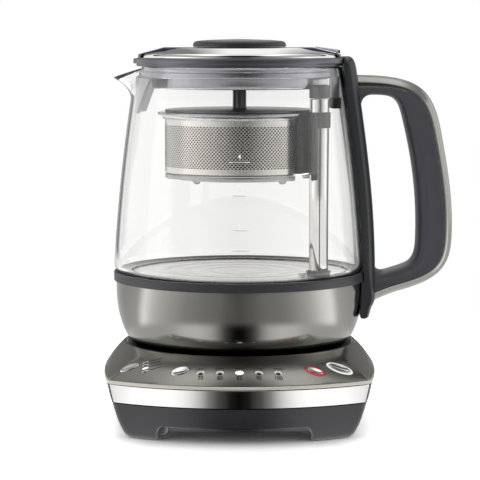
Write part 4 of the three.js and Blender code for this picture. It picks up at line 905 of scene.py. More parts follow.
def makePanelPrint():
    def onCover(x, y, lift):
        return x, y, coverHeight(x, y) + lift
    tick, dash, width = panelPrint["tickLength"], panelPrint["dashLength"], panelPrint["lineWidth"]
    shapes = []
    for (x, y), words in zip(temperatureWindows, panelPrint["numbers"]):
        shapes.append(moved(flatText(words, panelPrint["height"]), x, y - panelPrint["drop"]))
        shapes.append(flatBar(x, y + panelPrint["tickRise"], tick, width))
    for x, y in strengthWindows:
        shapes.append(flatBar(x + panelPrint["dashShift"], y, dash, width))
    pieceObject("panel_print", printedFilm(shapes, onCover), "dark_ink", "base")


makePanelPrint()
print("power base built")


# Steel bowl under the glass, with its base and socket
bowl = {
    "wall": 0.9,
    "top": (74.7, 87.1),
    "shoulder": (75.2, 66),
    "heel": (70, 44.5),
    "foot": (52, 42.3),
    "footRing": [(21.3, 41.3), (50.7, 41.3, 0.8), (51.7, 42.3), (51.7, 45), (21.3, 45)],
    "socket": [(0, 57), (21, 57), (21, 47.1), (24, 47.1), (24, 45.3), (21, 45.3), (21, 42.3, 0.6),
               (18.7, 42.3, 0.6), (18.7, 51.2), (7.4, 51.2), (7.4, 44.6, 0.5), (3.1, 44.6, 0.5), (3.1, 51.2),
               (0, 51.2)],
}


def bezier(start, controlA, controlB, end, steps):
    points = []
    for i in range(steps + 1):
        t = i / steps
        s = 1 - t
        points.append(tuple(a * s ** 3 + 3 * b * t * s ** 2 + 3 * c * t * t * s + d * t ** 3
                            for a, b, c, d in zip(start, controlA, controlB, end)))
    return points


def bowlCurve(wall):
    top, shoulder, heel, foot = (bowl[key] for key in ("top", "shoulder", "heel", "foot"))
    return bezier((top[0] - wall, top[1]), (shoulder[0] - wall, shoulder[1]),
                  (heel[0] - wall, heel[1] + wall), (foot[0], foot[1] + wall), 40)


def makeBowl():
    shell = turned(bowlCurve(0) + bowlCurve(bowl["wall"])[::-1], 240)
    pieceObject("bowl_shell", shell, "smoked_steel", "jug", ["steel_bowl"])
    turnedPiece("bowl_foot", bowl["footRing"], "black_abs", "jug", ["bowl_base"], segments=160)
    turnedPiece("bowl_socket", bowl["socket"], "black_abs", "jug", ["jug_connector"], segments=96)


makeBowl()


# Floor of the jug: dished steel with pressed rings
floorPlate = {
    "top": 91.9,
    "wall": 1.2,
    "pressDepth": 0.8,
    "dishRadius": 63.2,
    "plateau": 65.1,
    "hollow": 63.9,
    "flange": 73.6,
    "flangeTop": 88.6,
    "flangeBottom": 87.6,
    "rings": [(46, 0.7), (33, 0.5), (20, 0.4)],  # radius and depth of each pressed ring
    "ringHalfWidth": 2.4,
}


def floorSurface(radius):
    height = floorPlate["top"]
    for centre, depth in floorPlate["rings"]:
        near = max(0, 1 - abs(radius - centre) / floorPlate["ringHalfWidth"])
        height -= depth * near * near * (3 - 2 * near)
    return height


def makeFloor():
    top, under = floorPlate["top"], floorPlate["top"] - floorPlate["wall"] - floorPlate["pressDepth"]
    plateau, hollow, flange = floorPlate["plateau"], floorPlate["hollow"], floorPlate["flange"]
    upper = [(radius, floorSurface(radius)) for radius in (i * 0.8 for i in range(79))]
    rim = softened([
        (floorPlate["dishRadius"], top), (plateau, top, 1.6), (plateau, floorPlate["flangeTop"], 0.8),
        (flange, floorPlate["flangeTop"]), (flange, floorPlate["flangeBottom"]),
        (hollow, floorPlate["flangeBottom"]), (hollow, under), (0, under),
    ], 0.2, closed=False)
    pieceObject("dished_floor", turned(upper + rim), "spun_steel", "jug", ["jug_floor"])


makeFloor()
lowerRing = {
    "outer": 76.2,
    "bottom": 87.1,
    "top": 92.4,
    "profile": [(74.3, 87.1), (76.2, 87.1, 0.4), (76.2, 92.4, 0.7), (74.3, 92.4)],
}
turnedPiece("lower_ring", lowerRing["profile"], "charcoal_abs", "jug", ["lower_collar"], 0.2)


# Glass of the jug: its section turned by a rule that draws a spout out of one side of the rim
glass = {
    "wall": 2.8,
    "bellyRadius": 75.9,
    "heel": 8,
    "footRadius": 66,
    "foot": 89.6,
    "footEdge": 0.3,
    "rimRadius": 62.4,
    "rimHeight": 215.7,
    "lean": 0.51,
    "spoutStart": 194,
    "spoutReach": 14.5,
    "spoutDrop": 6.4,
    "spoutHalfAngle": 30,
    "spoutFlare": 2.3,
    "segments": 240,
}


def glassRadius(height):
    belly = glass["foot"] + glass["heel"]
    rise = max(0, (height - belly) / (glass["rimHeight"] - belly))
    taper = glass["lean"] * rise + (1 - glass["lean"]) * rise ** 2
    return glass["bellyRadius"] - (glass["bellyRadius"] - glass["rimRadius"]) * taper


def glassSection():
    belly, heel, wall = glass["foot"] + glass["heel"], glass["heel"], glass["wall"]
    centre = glass["bellyRadius"] - heel

    def heelArc(radius):
        return [(centre + radius * math.sin(a), belly - radius * math.cos(a))
                for a in (math.pi / 2 * i / 10 for i in range(11))]
    heights = [lerp(belly, glass["rimHeight"], i / 60) for i in range(1, 60)]
    outer = [(glassRadius(z), z) for z in heights]
    inner = [(glassRadius(z) - wall, z) for z in reversed(heights)]
    middle = glass["rimRadius"] - wall / 2
    rim = [(middle + wall / 2 * math.cos(a), glass["rimHeight"] - wall / 2 + wall / 2 * math.sin(a))
           for a in (math.pi * i / 8 for i in range(9))]
    foot, footRadius, edge = glass["foot"], glass["footRadius"], glass["footEdge"]
    outerFoot = [(footRadius, foot + edge), (footRadius + edge, foot)]
    innerFoot = [(footRadius + edge, foot + wall), (footRadius, foot + wall - edge)]
    return [*outerFoot, *heelArc(heel), *outer, *rim, *inner, *reversed(heelArc(heel - wall)), *innerFoot]


def glassTree(material):
    # turns the section about the jug's axis and draws out the spout at -X
    tree = bpy.data.node_groups.new("jug_glass", "GeometryNodeTree")
    face = tree.interface
    face.new_socket("Section", in_out="INPUT", socket_type="NodeSocketGeometry")
    face.new_socket("Segments", in_out="INPUT", socket_type="NodeSocketInt")
    for name in ("Axis X", "Axis Y", "Spout start", "Rim height", "Spout reach", "Spout drop",
                 "Spout half angle", "Spout flare"):
        face.new_socket(name, in_out="INPUT", socket_type="NodeSocketFloat")
    face.new_socket("Glass", in_out="OUTPUT", socket_type="NodeSocketGeometry")
    put = addNode(tree, "NodeGroupInput").outputs
    position = addNode(tree, "GeometryNodeInputPosition").outputs[0]

    # a sheet with one row for each point of the section and one to close it
    size = addNode(tree, "GeometryNodeAttributeDomainSize", {"component": "MESH", 0: put["Section"]})
    rows = size.outputs["Point Count"]
    columns = addNode(tree, "ShaderNodeMath", {"operation": "ADD", 0: put["Segments"], 1: 1})
    rings = addNode(tree, "ShaderNodeMath", {"operation": "ADD", 0: rows, 1: 1})
    sheet = addNode(tree, "GeometryNodeMeshGrid", {
        "Size X": 1.0, "Size Y": 1.0, "Vertices X": columns.outputs[0], "Vertices Y": rings.outputs[0],
    })
    here = addNode(tree, "ShaderNodeSeparateXYZ", {0: position}).outputs
    share = addNode(tree, "ShaderNodeMath", {"operation": "ADD", 0: here[1], 1: 0.5})
    spread = addNode(tree, "ShaderNodeMath", {"operation": "MULTIPLY", 0: share.outputs[0], 1: rows})
    row = addNode(tree, "ShaderNodeMath", {"operation": "ROUND", 0: spread.outputs[0]})
    wrapped = addNode(tree, "ShaderNodeMath", {"operation": "MODULO", 0: row.outputs[0], 1: rows})
    sampled = addNode(tree, "GeometryNodeSampleIndex", {
        "data_type": "FLOAT_VECTOR", "domain": "POINT", "Geometry": put["Section"], "Value": position,
        "Index": wrapped.outputs[0],
    })
    section = addNode(tree, "ShaderNodeSeparateXYZ", {0: sampled.outputs[0]}).outputs

    # the spout: nothing at its half angle, all of it at -X, and more of it towards the rim
    angle = addNode(tree, "ShaderNodeMath", {"operation": "MULTIPLY", 0: here[0], 1: 2 * math.pi}).outputs[0]
    fromHandle = addNode(tree, "ShaderNodeMath", {"operation": "ABSOLUTE", 0: angle})
    fromSpout = addNode(tree, "ShaderNodeMath", {
        "operation": "SUBTRACT", 0: math.pi, 1: fromHandle.outputs[0],
    })
    pull = addNode(tree, "ShaderNodeMapRange", {
        "interpolation_type": "SMOOTHSTEP", "To Min": 1.0, "To Max": 0.0, "Value": fromSpout.outputs[0],
        "From Max": put["Spout half angle"],
    })
    rise = addNode(tree, "ShaderNodeMapRange", {
        "Value": section[2], "From Min": put["Spout start"], "From Max": put["Rim height"],
    })
    flare = addNode(tree, "ShaderNodeMath", {
        "operation": "POWER", 0: rise.outputs[0], 1: put["Spout flare"],
    })
    fullReach = addNode(tree, "ShaderNodeMath", {
        "operation": "MULTIPLY", 0: put["Spout reach"], 1: pull.outputs[0],
    })
    wide = addNode(tree, "ShaderNodeMath", {
        "operation": "MULTIPLY_ADD", 0: fullReach.outputs[0], 1: flare.outputs[0], 2: section[0],
    })
    fullDrop = addNode(tree, "ShaderNodeMath", {
        "operation": "MULTIPLY", 0: put["Spout drop"], 1: pull.outputs[0],
    })
    drop = addNode(tree, "ShaderNodeMath", {
        "operation": "MULTIPLY", 0: fullDrop.outputs[0], 1: rise.outputs[0],
    })
    height = addNode(tree, "ShaderNodeMath", {"operation": "SUBTRACT", 0: section[2], 1: drop.outputs[0]})

    cosine = addNode(tree, "ShaderNodeMath", {"operation": "COSINE", 0: angle})
    sine = addNode(tree, "ShaderNodeMath", {"operation": "SINE", 0: angle})
    x = addNode(tree, "ShaderNodeMath", {
        "operation": "MULTIPLY_ADD", 0: wide.outputs[0], 1: cosine.outputs[0], 2: put["Axis X"],
    })
    y = addNode(tree, "ShaderNodeMath", {
        "operation": "MULTIPLY_ADD", 0: wide.outputs[0], 1: sine.outputs[0], 2: put["Axis Y"],
    })
    place = addNode(tree, "ShaderNodeCombineXYZ", {0: x.outputs[0], 1: y.outputs[0], 2: height.outputs[0]})
    shaped = addNode(tree, "GeometryNodeSetPosition", {
        "Geometry": sheet.outputs[0], "Position": place.outputs[0],
    })
    merged = addNode(tree, "GeometryNodeMergeByDistance", {"Distance": 1e-6, 0: shaped.outputs[0]})
    realized = addNode(tree, "GeometryNodeRealizeInstances", {0: merged.outputs[0]})
    coated = addNode(tree, "GeometryNodeSetMaterial", {"Material": material, 0: realized.outputs[0]})
    addNode(tree, "NodeGroupOutput", {0: coated.outputs[0]})
    return tree


def setInputs(modifier, values):
    # sets a modifier's inputs by the names that its tree gives them
    for item in modifier.node_group.interface.items_tree:
        if item.in_out == "INPUT" and item.name in values:
            modifier[item.identifier] = values[item.name]


def grownMesh(name, points, edges, faces, tree, values):
    # runs a tree on a carrier mesh, given in metres, and returns the plain mesh
    mesh = bpy.data.meshes.new(name)
    mesh.from_pydata(points, edges, faces)
    carrier = bpy.data.objects.new(name, mesh)
    bpy.context.collection.objects.link(carrier)
    modifier = carrier.modifiers.new("shape", "NODES")
    modifier.node_group = tree
    setInputs(modifier, values)
    result = evaluatedMesh(carrier)
    bpy.data.objects.remove(carrier)
    return result


def makeGlass():
    section = glassSection()
    points = [(r / 1000, 0, z / 1000) for r, z in section]
    edges = [(i, (i + 1) % len(points)) for i in range(len(points))]
    mesh = grownMesh("glass", points, edges, [], glassTree(finishes["borosilicate_glass"][0]), {
        "Segments": glass["segments"], "Axis X": jugAxis.x, "Axis Y": jugAxis.y,
        "Spout start": glass["spoutStart"] / 1000, "Rim height": glass["rimHeight"] / 1000,
        "Spout reach": glass["spoutReach"] / 1000, "Spout drop": glass["spoutDrop"] / 1000,
        "Spout half angle": math.radians(glass["spoutHalfAngle"]), "Spout flare": glass["spoutFlare"],
    })
    tidyMesh(mesh, 60)
    ridingObject("blown_glass", mesh, "borosilicate_glass", "jug", ["glass_jug"])


makeGlass()


levelMarks = {
    "marks": [("4", 162.0, 12), ("3", 142.9, 9), ("2", 123.1, 9), (None, 111.3, 12)],  # height, length
    "lineWidth": 0.45,
    "figureHeight": 2.6,
    "figureRise": 3.1,
    "lineSteps": 6,
}


def makeLevelPrint():
    def onGlass(u, v, lift):
        radius = glassRadius(v) + lift
        angle = -math.pi / 2 + u / radius
        return radius * math.cos(angle), radius * math.sin(angle), v
    shapes, steps = [], levelMarks["lineSteps"]
    for number, height, length in levelMarks["marks"]:
        for i in range(steps):
            place = length * ((i + 0.5) / steps - 0.5)
            shapes.append(flatBar(place, height, length / steps, levelMarks["lineWidth"]))
        if number:
            figure = flatText(number, levelMarks["figureHeight"])
            shapes.append(moved(figure, 0, height + levelMarks["figureRise"]))
    pieceObject("level_print", printedFilm(shapes, onGlass), "pale_ink", "jug")


makeLevelPrint()


# Collar round the glass's rim, with its sleeve
rimCollar = {
    "outer": 63.9,
    "bottom": 216,
    "ring": [(58, 216), (62, 216), (62, 217.5), (63.9, 217.5, 0.6), (63.9, 220.6, 0.9), (58, 220.6)],
    "sleeve": [(56.8, 209), (58.9, 209, 0.8), (58.9, 212), (58.4, 212.4), (58.9, 212.8), (58.9, 215.9),
               (56.8, 215.9)],
}
turnedPiece("rim_ring", rimCollar["ring"], "graphite_abs", "jug", ["rim_collar"], 0.25)
turnedPiece("rim_sleeve", rimCollar["sleeve"], "lid_abs", "jug", fillet=0.25)


# Guard inside the spout
guard = {"bottom": 188, "top": 208.7, "wall": 1.4, "halfLow": 20, "halfHigh": 31, "clearance": 0.5}


def makeGuard():
    steps, rows = 36, 14
    rings = []
    for r in range(rows + 1):
        height = lerp(guard["bottom"], guard["top"], r / rows)
        half = math.radians(lerp(guard["halfLow"], guard["halfHigh"], r / rows))
        outer = glassRadius(height) - glass["wall"] - guard["clearance"]
        angles = [math.pi - half * (1 - 2 * i / steps) for i in range(steps + 1)]
        outside = [(outer * math.cos(a), outer * math.sin(a), height) for a in angles]
        inner = outer - guard["wall"]
        inside = [(inner * math.cos(a), inner * math.sin(a), height) for a in reversed(angles)]
        rings.append(outside + inside)
    pieceObject("pouring_guard", skinned(rings, capped=True), "guard_abs", "jug", ["spout_guard"])


makeGuard()


catchBlock = {
    "inner": 55.4,
    "outer": 60.2,
    "padOuter": 61.4,
    "half": 8,
    "bottom": 190.5,
    "split": 197,
    "top": 209.2,
}


def makeCatchBlock():
    # the stop that the lid's catch meets, on the handle's side inside the glass
    inner, half, split = catchBlock["inner"], catchBlock["half"], catchBlock["split"]
    for name, low, high, outer, finish in (
            ("stop_pad", catchBlock["bottom"], split, catchBlock["padOuter"], "foot_rubber"),
            ("stop_block", split, catchBlock["top"], catchBlock["outer"], "graphite_abs")):
        profile = softened([(inner, low), (outer, low), (outer, high), (inner, high)], 0.4)
        pieceObject(name, turned(profile, 16, sweep=(-half, half)), finish, "jug")


makeCatchBlock()
print("jug built")


# Handle: a spine down the jug's side, a loop with a soft grip, and a smoked band round the loop's back.
# Outlines are shares of its depth from the jug and of its height.
handle = {
    "near": 61.9,
    "far": 128.55,
    "root": 64,
    "top": 221.9,
    "spineHalf": 17.5,
    "loopHalf": 14,
    "bandTop": 7,
    "bandMiddle": 5.1,
    "bandFoot": 5.6,
    "bandOverlap": 0.1,
    "flankShare": 0.166,
    "flankRise": 0.75,
    "bevelStart": 0.3,
    "bevelReach": 2,
    "footBevel": 0.3,
    "footRise": 0.2,
    "clearance": 0.6,
    "lidRadius": 61.3,
    "lidBottom": 220.9,
    "lidTop": 224,
    "bowlBottom": 42,
    "pathSteps": 110,
    # sections, as how far each point lies across and how much narrower the piece is there
    "spineSection": [(3.9, 0), (3.6, 0.2), (0.9, 2.9), (0.3, 3.9), (0, 5.4)],
    "gripSection": [(0, 8), (0.03, 5), (0.1, 2.4), (0.2, 0.9), (0.32, 0.35), (0.5, 0.6), (0.7, 0.75),
                    (0.88, 0.5), (0.96, 0.35), (1, 0.5)],
    "bandSection": [(0, 0.6), (0.04, 0.45), (0.14, 0.5), (0.27, 0.8), (0.41, 1.5), (0.56, 2.5), (0.7, 3.9),
                    (0.83, 5.6), (0.93, 7.6), (1, 9.8)],
}


def handlePath(startShare, stepShares, steps=14):
    def place(share):
        return (lerp(handle["near"], handle["far"], share[0]), lerp(handle["root"], handle["top"], share[1]))
    path, here = [], place(startShare)
    for step in stepShares:
        points = [place(share) for share in step]
        count = steps if len(points) > 1 else 5
        if len(points) == 1:
            points = [tuple(lerp(a, b, s) for a, b in zip(here, points[0])) for s in (1 / 3, 2 / 3)] + points
        elif len(points) == 2:
            points = [tuple(lerp(a, b, 2 / 3) for a, b in zip(here, points[0])),
                      tuple(lerp(a, b, 2 / 3) for a, b in zip(points[1], points[0])), points[1]]
        path += bezier(here, *points, count)[:-1]
        here = points[-1]
    return path + [here]


loopEdge = handlePath([0.136, 0.928], [
    [[0.63, 0.925], [0.806, 0.9], [0.89, 0.725]],
    [[0.962, 0.564], [1.012, 0.45], [0.9985, 0.304]],
    [[0.9895, 0.1805], [0.84, 0.1425], [0.555, 0.1064]],
    [[0.4207, 0.0918], [0.271, 0.0595]],
])
fingerEdge = handlePath([0.166, 0.8106], [
    [[0.169, 0.8537], [0.271, 0.8537]],
    [[0.458, 0.8537], [0.502, 0.8423], [0.542, 0.7777]],
    [[0.632, 0.627], [0.69, 0.4813], [0.678, 0.304]],
    [[0.674, 0.212], [0.61, 0.209], [0.5105, 0.1938]],
    [[0.398, 0.179]],
    [[0.301, 0.168], [0.2934, 0.2153]],
])
spineEdge = handlePath([0, 0.998], [
    [[0.054, 1]],
    [[0.1138, 0.9975], [0.127, 0.9265]],
    [[0.229, 0.6396], [0.286, 0.4497], [0.2964, 0.2153]],
    [[0.2994, 0.0887]],
    [[0.295, 0.0583], [0.2695, 0.0507]],
    [[0.235, 0]],
    [[0.166, 0]],
    [[0.166, 0.25]],
    [[0, 0.9]],
])[:-1]


def resampled(path, count):
    # the path again, with its points evenly spaced
    lengths = [0]
    for a, b in zip(path, path[1:]):
        lengths.append(lengths[-1] + math.dist(a, b))
    points = []
    for i in range(count + 1):
        target = lengths[-1] * i / count
        k = min(max(bisect.bisect_right(lengths, target), 1), len(path) - 1)
        share = (target - lengths[k - 1]) / max(lengths[k] - lengths[k - 1], 1e-9)
        points.append(tuple(lerp(a, b, share) for a, b in zip(path[k - 1], path[k])))
    return points


def pathNormals(path, closed):
    # unit normals on the path's right-hand side
    normals, count = [], len(path)
    for i in range(count):
        before = path[i - 1] if closed or i else path[0]
        after = path[(i + 1) % count] if closed or i < count - 1 else path[-1]
        along = (Vector(after) - Vector(before)).normalized()
        normals.append(Vector((along.y, -along.x)))
    return normals


def insetPath(path, depth, closed=False):
    # depth is one number or one for each point, to the path's right
    depths = depth if isinstance(depth, list) else [depth] * len(path)
    return [tuple(Vector(point) + normal * amount)
            for point, normal, amount in zip(path, pathNormals(path, closed), depths)]


pathSteps = handle["pathSteps"]
loopBack = resampled(loopEdge, pathSteps)
bandDepths = []
for i in range(pathSteps + 1):
    endDepth = handle["bandTop"] if i < pathSteps / 2 else handle["bandFoot"]
    bandDepths.append(lerp(endDepth, handle["bandMiddle"], math.sin(math.pi * i / pathSteps)))


def bothSides(half, section):
    side = [(place, half - drop) for place, drop in section]
    return side + [(place, -width) for place, width in reversed(side)]


def crossSection(near, far, half, section):
    # skins a band between two paths
    rings = []
    for share, width in bothSides(half, section):
        rings.append([(lerp(a[0], b[0], share), width, lerp(a[1], b[1], share)) for a, b in zip(near, far)])
    return openStrip(rings)


def jugEnvelope():
    # the room that the jug takes, with the clearance round it, from under the bowl to above the lid
    gap = handle["clearance"]
    ringOuter, ringTop = lowerRing["outer"] + gap, lowerRing["top"]
    rimOuter, rimBottom = rimCollar["outer"] + gap, rimCollar["bottom"] - gap
    lidOuter, lidBottom, lidTop = handle["lidRadius"] + gap, handle["lidBottom"], handle["lidTop"]
    heights = [lerp(ringTop, rimBottom, i / 30) for i in range(1, 31)]
    return turned([
        (0, handle["bowlBottom"]), *[(r + gap, z) for r, z in reversed(bowlCurve(0))],
        (ringOuter, lowerRing["bottom"]), (ringOuter, ringTop + gap),
        *[(glassRadius(z) + gap, z) for z in heights],
        (rimOuter, rimBottom), (rimOuter, lidBottom), (lidOuter, lidBottom), (lidOuter, lidTop), (0, lidTop),
    ], 240)


def makeSpine():
    outline = resampled(spineEdge + spineEdge[:1], 150)[:-1]
    away = []  # how much of the bevel each point gets: none on the jug's side, less at the thin foot
    for x, z in outline:
        rise = (z - handle["root"]) / (handle["top"] - handle["root"])
        flankShare = handle["flankShare"] * min(1, (1 - rise) / handle["flankRise"])
        flank = lerp(handle["near"], handle["far"], flankShare)
        outward = min(1, max(0, (x - flank - handle["bevelStart"]) / handle["bevelReach"]))
        away.append(outward * lerp(handle["footBevel"], 1, min(1, rise / handle["footRise"])))
    rings = []
    for inset, depth in bothSides(handle["spineHalf"], handle["spineSection"]):
        insets = [inset * share for share in away]
        rings.append([(x, depth, z) for x, z in insetPath(outline, insets, closed=True)])
    spine = cutAway(skinned(rings, capped=True), [jugEnvelope()], selfCrossing=False)
    pieceObject("handle_spine", spine, "spine_abs", "jug", ["handle_frame"])


def makeLoop():
    inner = resampled(fingerEdge, pathSteps)
    outer = insetPath(loopBack, [depth + handle["bandOverlap"] for depth in bandDepths])
    grip = crossSection(inner, outer, handle["loopHalf"], handle["gripSection"])
    pieceObject("handle_grip", grip, "charcoal_grip", "jug", sharpAngle=50)


def makeBandCover():
    inner = insetPath(loopBack, bandDepths)
    strap = crossSection(inner, loopBack, handle["loopHalf"], handle["bandSection"])
    pieceObject("handle_band", strap, "smoked_band", "jug", ["handle_cover"], 60)


makeSpine()
makeLoop()
makeBandCover()
print("handle built")


# Lift post with its foot, cap and bush
post = {
    "radius": 5.5,
    "bore": 4.3,
    "bottom": 92.2,
    "top": 197,
    "shoeRadius": 7.2,
    "shoeTop": 95.2,
    "collarRadius": 5.9,
    "collarTop": 204.9,
    "bushRadius": 4.7,
    "bushTop": 208.7,
    # the dark strips are painted dark reflections: the dark lines that the polished tube shows ahead and at
    # its sides
    "streakAngles": (-87.4, -170, -14),
    "streakHalf": 3.2,
    "streakRelief": 0.04,
    "streakFromFoot": 0.2,
    "streakFromTop": 0.4,
    "reach": 55.2,
    "angle": -32.5,  # round from the handle, in degrees
}
postTurn = math.radians(post["angle"])
postPlace = (post["reach"] * math.cos(postTurn), post["reach"] * math.sin(postTurn))


def makePost():
    radius, bottom, top = post["radius"], post["bottom"], post["top"]
    tube = softened([(post["bore"], bottom), (radius, bottom), (radius, top, 0.4), (post["bore"], top)], 0.1)
    pieceObject("post_tube", turned(tube, 72, postPlace), "drawn_steel", "jug", ["lift_post"])
    # dark strips down the tube, a hair proud of it: painted dark reflections on the polished steel
    relief = radius + post["streakRelief"]
    streakBottom, streakTop = bottom + post["streakFromFoot"], top - post["streakFromTop"]
    strip = [(radius, streakBottom), (relief, streakBottom), (relief, streakTop), (radius, streakTop)]
    for i, degrees in enumerate(post["streakAngles"]):
        reflectionStreak = turned(strip, 4, postPlace, (degrees - post["streakHalf"], degrees + post["streakHalf"]))
        pieceObject(f"post_reflection_streak_{i + 1}", reflectionStreak, "foot_rubber", "jug")
    inner, shoeTop = radius + seam, post["shoeTop"]
    shoe = softened([(inner, bottom), (post["shoeRadius"], bottom), (post["shoeRadius"], shoeTop, 1.2),
                     (inner, shoeTop, 0.4)], 0.2)
    pieceObject("post_shoe", turned(shoe, 64, postPlace), "charcoal_abs", "jug", ["post_foot"])
    collar = rod(*postPlace, post["collarRadius"], top + seam, post["collarTop"], 64, 0.7)
    pieceObject("post_collar", collar, "slider_abs", "jug", ["post_cap"])
    bush = rod(*postPlace, post["bushRadius"], post["collarTop"] + seam, post["bushTop"], 56, 0.4)
    pieceObject("post_bushing", bush, "milky_abs", "jug", ["post_bush"])


makePost()


# Tea basket: a strainer cup between two plastic rings, on an arm that rides up and down the post
basket = {
    "radius": 45.1,
    "wall": 0.7,
    "bottom": 151.7,
    "top": 185.4,
    "holesFrom": 155.9,
    "rows": 23,
    "columns": 132,
    "rowPitch": 1.092,
    "holeHalfSizes": (0.64, 0.53),
    # a dark sheet inside the holes, which paints the shade inside the basket
    "linerGap": 0.02,
    "linerWall": 0.15,
    "linerOverlap": 0.5,
    "floorWall": 1,
}


def strainerTree(material):
    # lays a holed tile out in rows, every other row half a pitch along, and bends the sheet round the axis
    tree = bpy.data.node_groups.new("strainer_wall", "GeometryNodeTree")
    face = tree.interface
    face.new_socket("Tile", in_out="INPUT", socket_type="NodeSocketGeometry")
    for name, kind in (("Columns", "Int"), ("Rows", "Int"), ("Pitch", "Float"), ("Row pitch", "Float"),
                       ("Radius", "Float"), ("Bottom", "Float"), ("Axis X", "Float"), ("Axis Y", "Float")):
        face.new_socket(name, in_out="INPUT", socket_type=f"NodeSocket{kind}")
    face.new_socket("Wall", in_out="OUTPUT", socket_type="NodeSocketGeometry")
    put = addNode(tree, "NodeGroupInput").outputs

    count = addNode(tree, "ShaderNodeMath", {"operation": "MULTIPLY", 0: put["Columns"], 1: put["Rows"]})
    spots = addNode(tree, "GeometryNodeMeshLine", {"Count": count.outputs[0]})
    index = addNode(tree, "GeometryNodeInputIndex").outputs[0]
    around = addNode(tree, "ShaderNodeMath", {"operation": "DIVIDE", 0: index, 1: put["Columns"]})
    row = addNode(tree, "ShaderNodeMath", {"operation": "FLOOR", 0: around.outputs[0]})
    column = addNode(tree, "ShaderNodeMath", {"operation": "MODULO", 0: index, 1: put["Columns"]})
    odd = addNode(tree, "ShaderNodeMath", {"operation": "MODULO", 0: row.outputs[0], 1: 2})
    shifted = addNode(tree, "ShaderNodeMath", {
        "operation": "MULTIPLY_ADD", 0: odd.outputs[0], 1: 0.5, 2: column.outputs[0],
    })
    along = addNode(tree, "ShaderNodeMath", {
        "operation": "MULTIPLY", 0: shifted.outputs[0], 1: put["Pitch"],
    })
    middle = addNode(tree, "ShaderNodeMath", {"operation": "ADD", 0: row.outputs[0], 1: 0.5})
    up = addNode(tree, "ShaderNodeMath", {
        "operation": "MULTIPLY", 0: middle.outputs[0], 1: put["Row pitch"],
    })
    flat = addNode(tree, "ShaderNodeCombineXYZ", {0: along.outputs[0], 2: up.outputs[0]})
    laid = addNode(tree, "GeometryNodeSetPosition", {
        "Geometry": spots.outputs[0], "Position": flat.outputs[0],
    })
    tiles = addNode(tree, "GeometryNodeInstanceOnPoints", {
        "Points": laid.outputs[0], "Instance": put["Tile"],
    })
    plain = addNode(tree, "GeometryNodeRealizeInstances", {0: tiles.outputs[0]})

    position = addNode(tree, "GeometryNodeInputPosition").outputs[0]
    here = addNode(tree, "ShaderNodeSeparateXYZ", {0: position}).outputs
    angle = addNode(tree, "ShaderNodeMath", {"operation": "DIVIDE", 0: here[0], 1: put["Radius"]}).outputs[0]
    radius = addNode(tree, "ShaderNodeMath", {"operation": "ADD", 0: put["Radius"], 1: here[1]}).outputs[0]
    cosine = addNode(tree, "ShaderNodeMath", {"operation": "COSINE", 0: angle})
    sine = addNode(tree, "ShaderNodeMath", {"operation": "SINE", 0: angle})
    x = addNode(tree, "ShaderNodeMath", {
        "operation": "MULTIPLY_ADD", 0: radius, 1: cosine.outputs[0], 2: put["Axis X"],
    })
    y = addNode(tree, "ShaderNodeMath", {
        "operation": "MULTIPLY_ADD", 0: radius, 1: sine.outputs[0], 2: put["Axis Y"],
    })
    z = addNode(tree, "ShaderNodeMath", {"operation": "ADD", 0: here[2], 1: put["Bottom"]})
    bent = addNode(tree, "ShaderNodeCombineXYZ", {0: x.outputs[0], 1: y.outputs[0], 2: z.outputs[0]})
    wall = addNode(tree, "GeometryNodeSetPosition", {
        "Geometry": plain.outputs[0], "Position": bent.outputs[0],
    })
    merged = addNode(tree, "GeometryNodeMergeByDistance", {"Distance": 2e-5, 0: wall.outputs[0]})
    realized = addNode(tree, "GeometryNodeRealizeInstances", {0: merged.outputs[0]})
    coated = addNode(tree, "GeometryNodeSetMaterial", {"Material": material, 0: realized.outputs[0]})
    addNode(tree, "NodeGroupOutput", {0: coated.outputs[0]})
    return tree


def holedTile(width, height, holeHalfSizes, wall):
    # a plate with an eight-sided hole, in metres: x along, z up, y through the wall
    rim = [(-1, -1), (0, -1), (1, -1), (1, 0), (1, 1), (0, 1), (-1, 1), (-1, 0)]
    edge = [(x * width / 2, z * height / 2) for x, z in rim]
    inner = [(holeHalfSizes[0] * math.cos(a), holeHalfSizes[1] * math.sin(a))
             for a in (math.radians(45 * i - 135) for i in range(8))]
    points = []
    for depth in (0, -wall):
        points += [(x / 1000, depth / 1000, z / 1000) for x, z in edge + inner]
    faces = []
    for i in range(8):
        j = (i + 1) % 8
        faces += [(i, j, 8 + j, 8 + i), (16 + i, 24 + i, 24 + j, 16 + j), (8 + i, 8 + j, 24 + j, 24 + i)]
    return points, faces


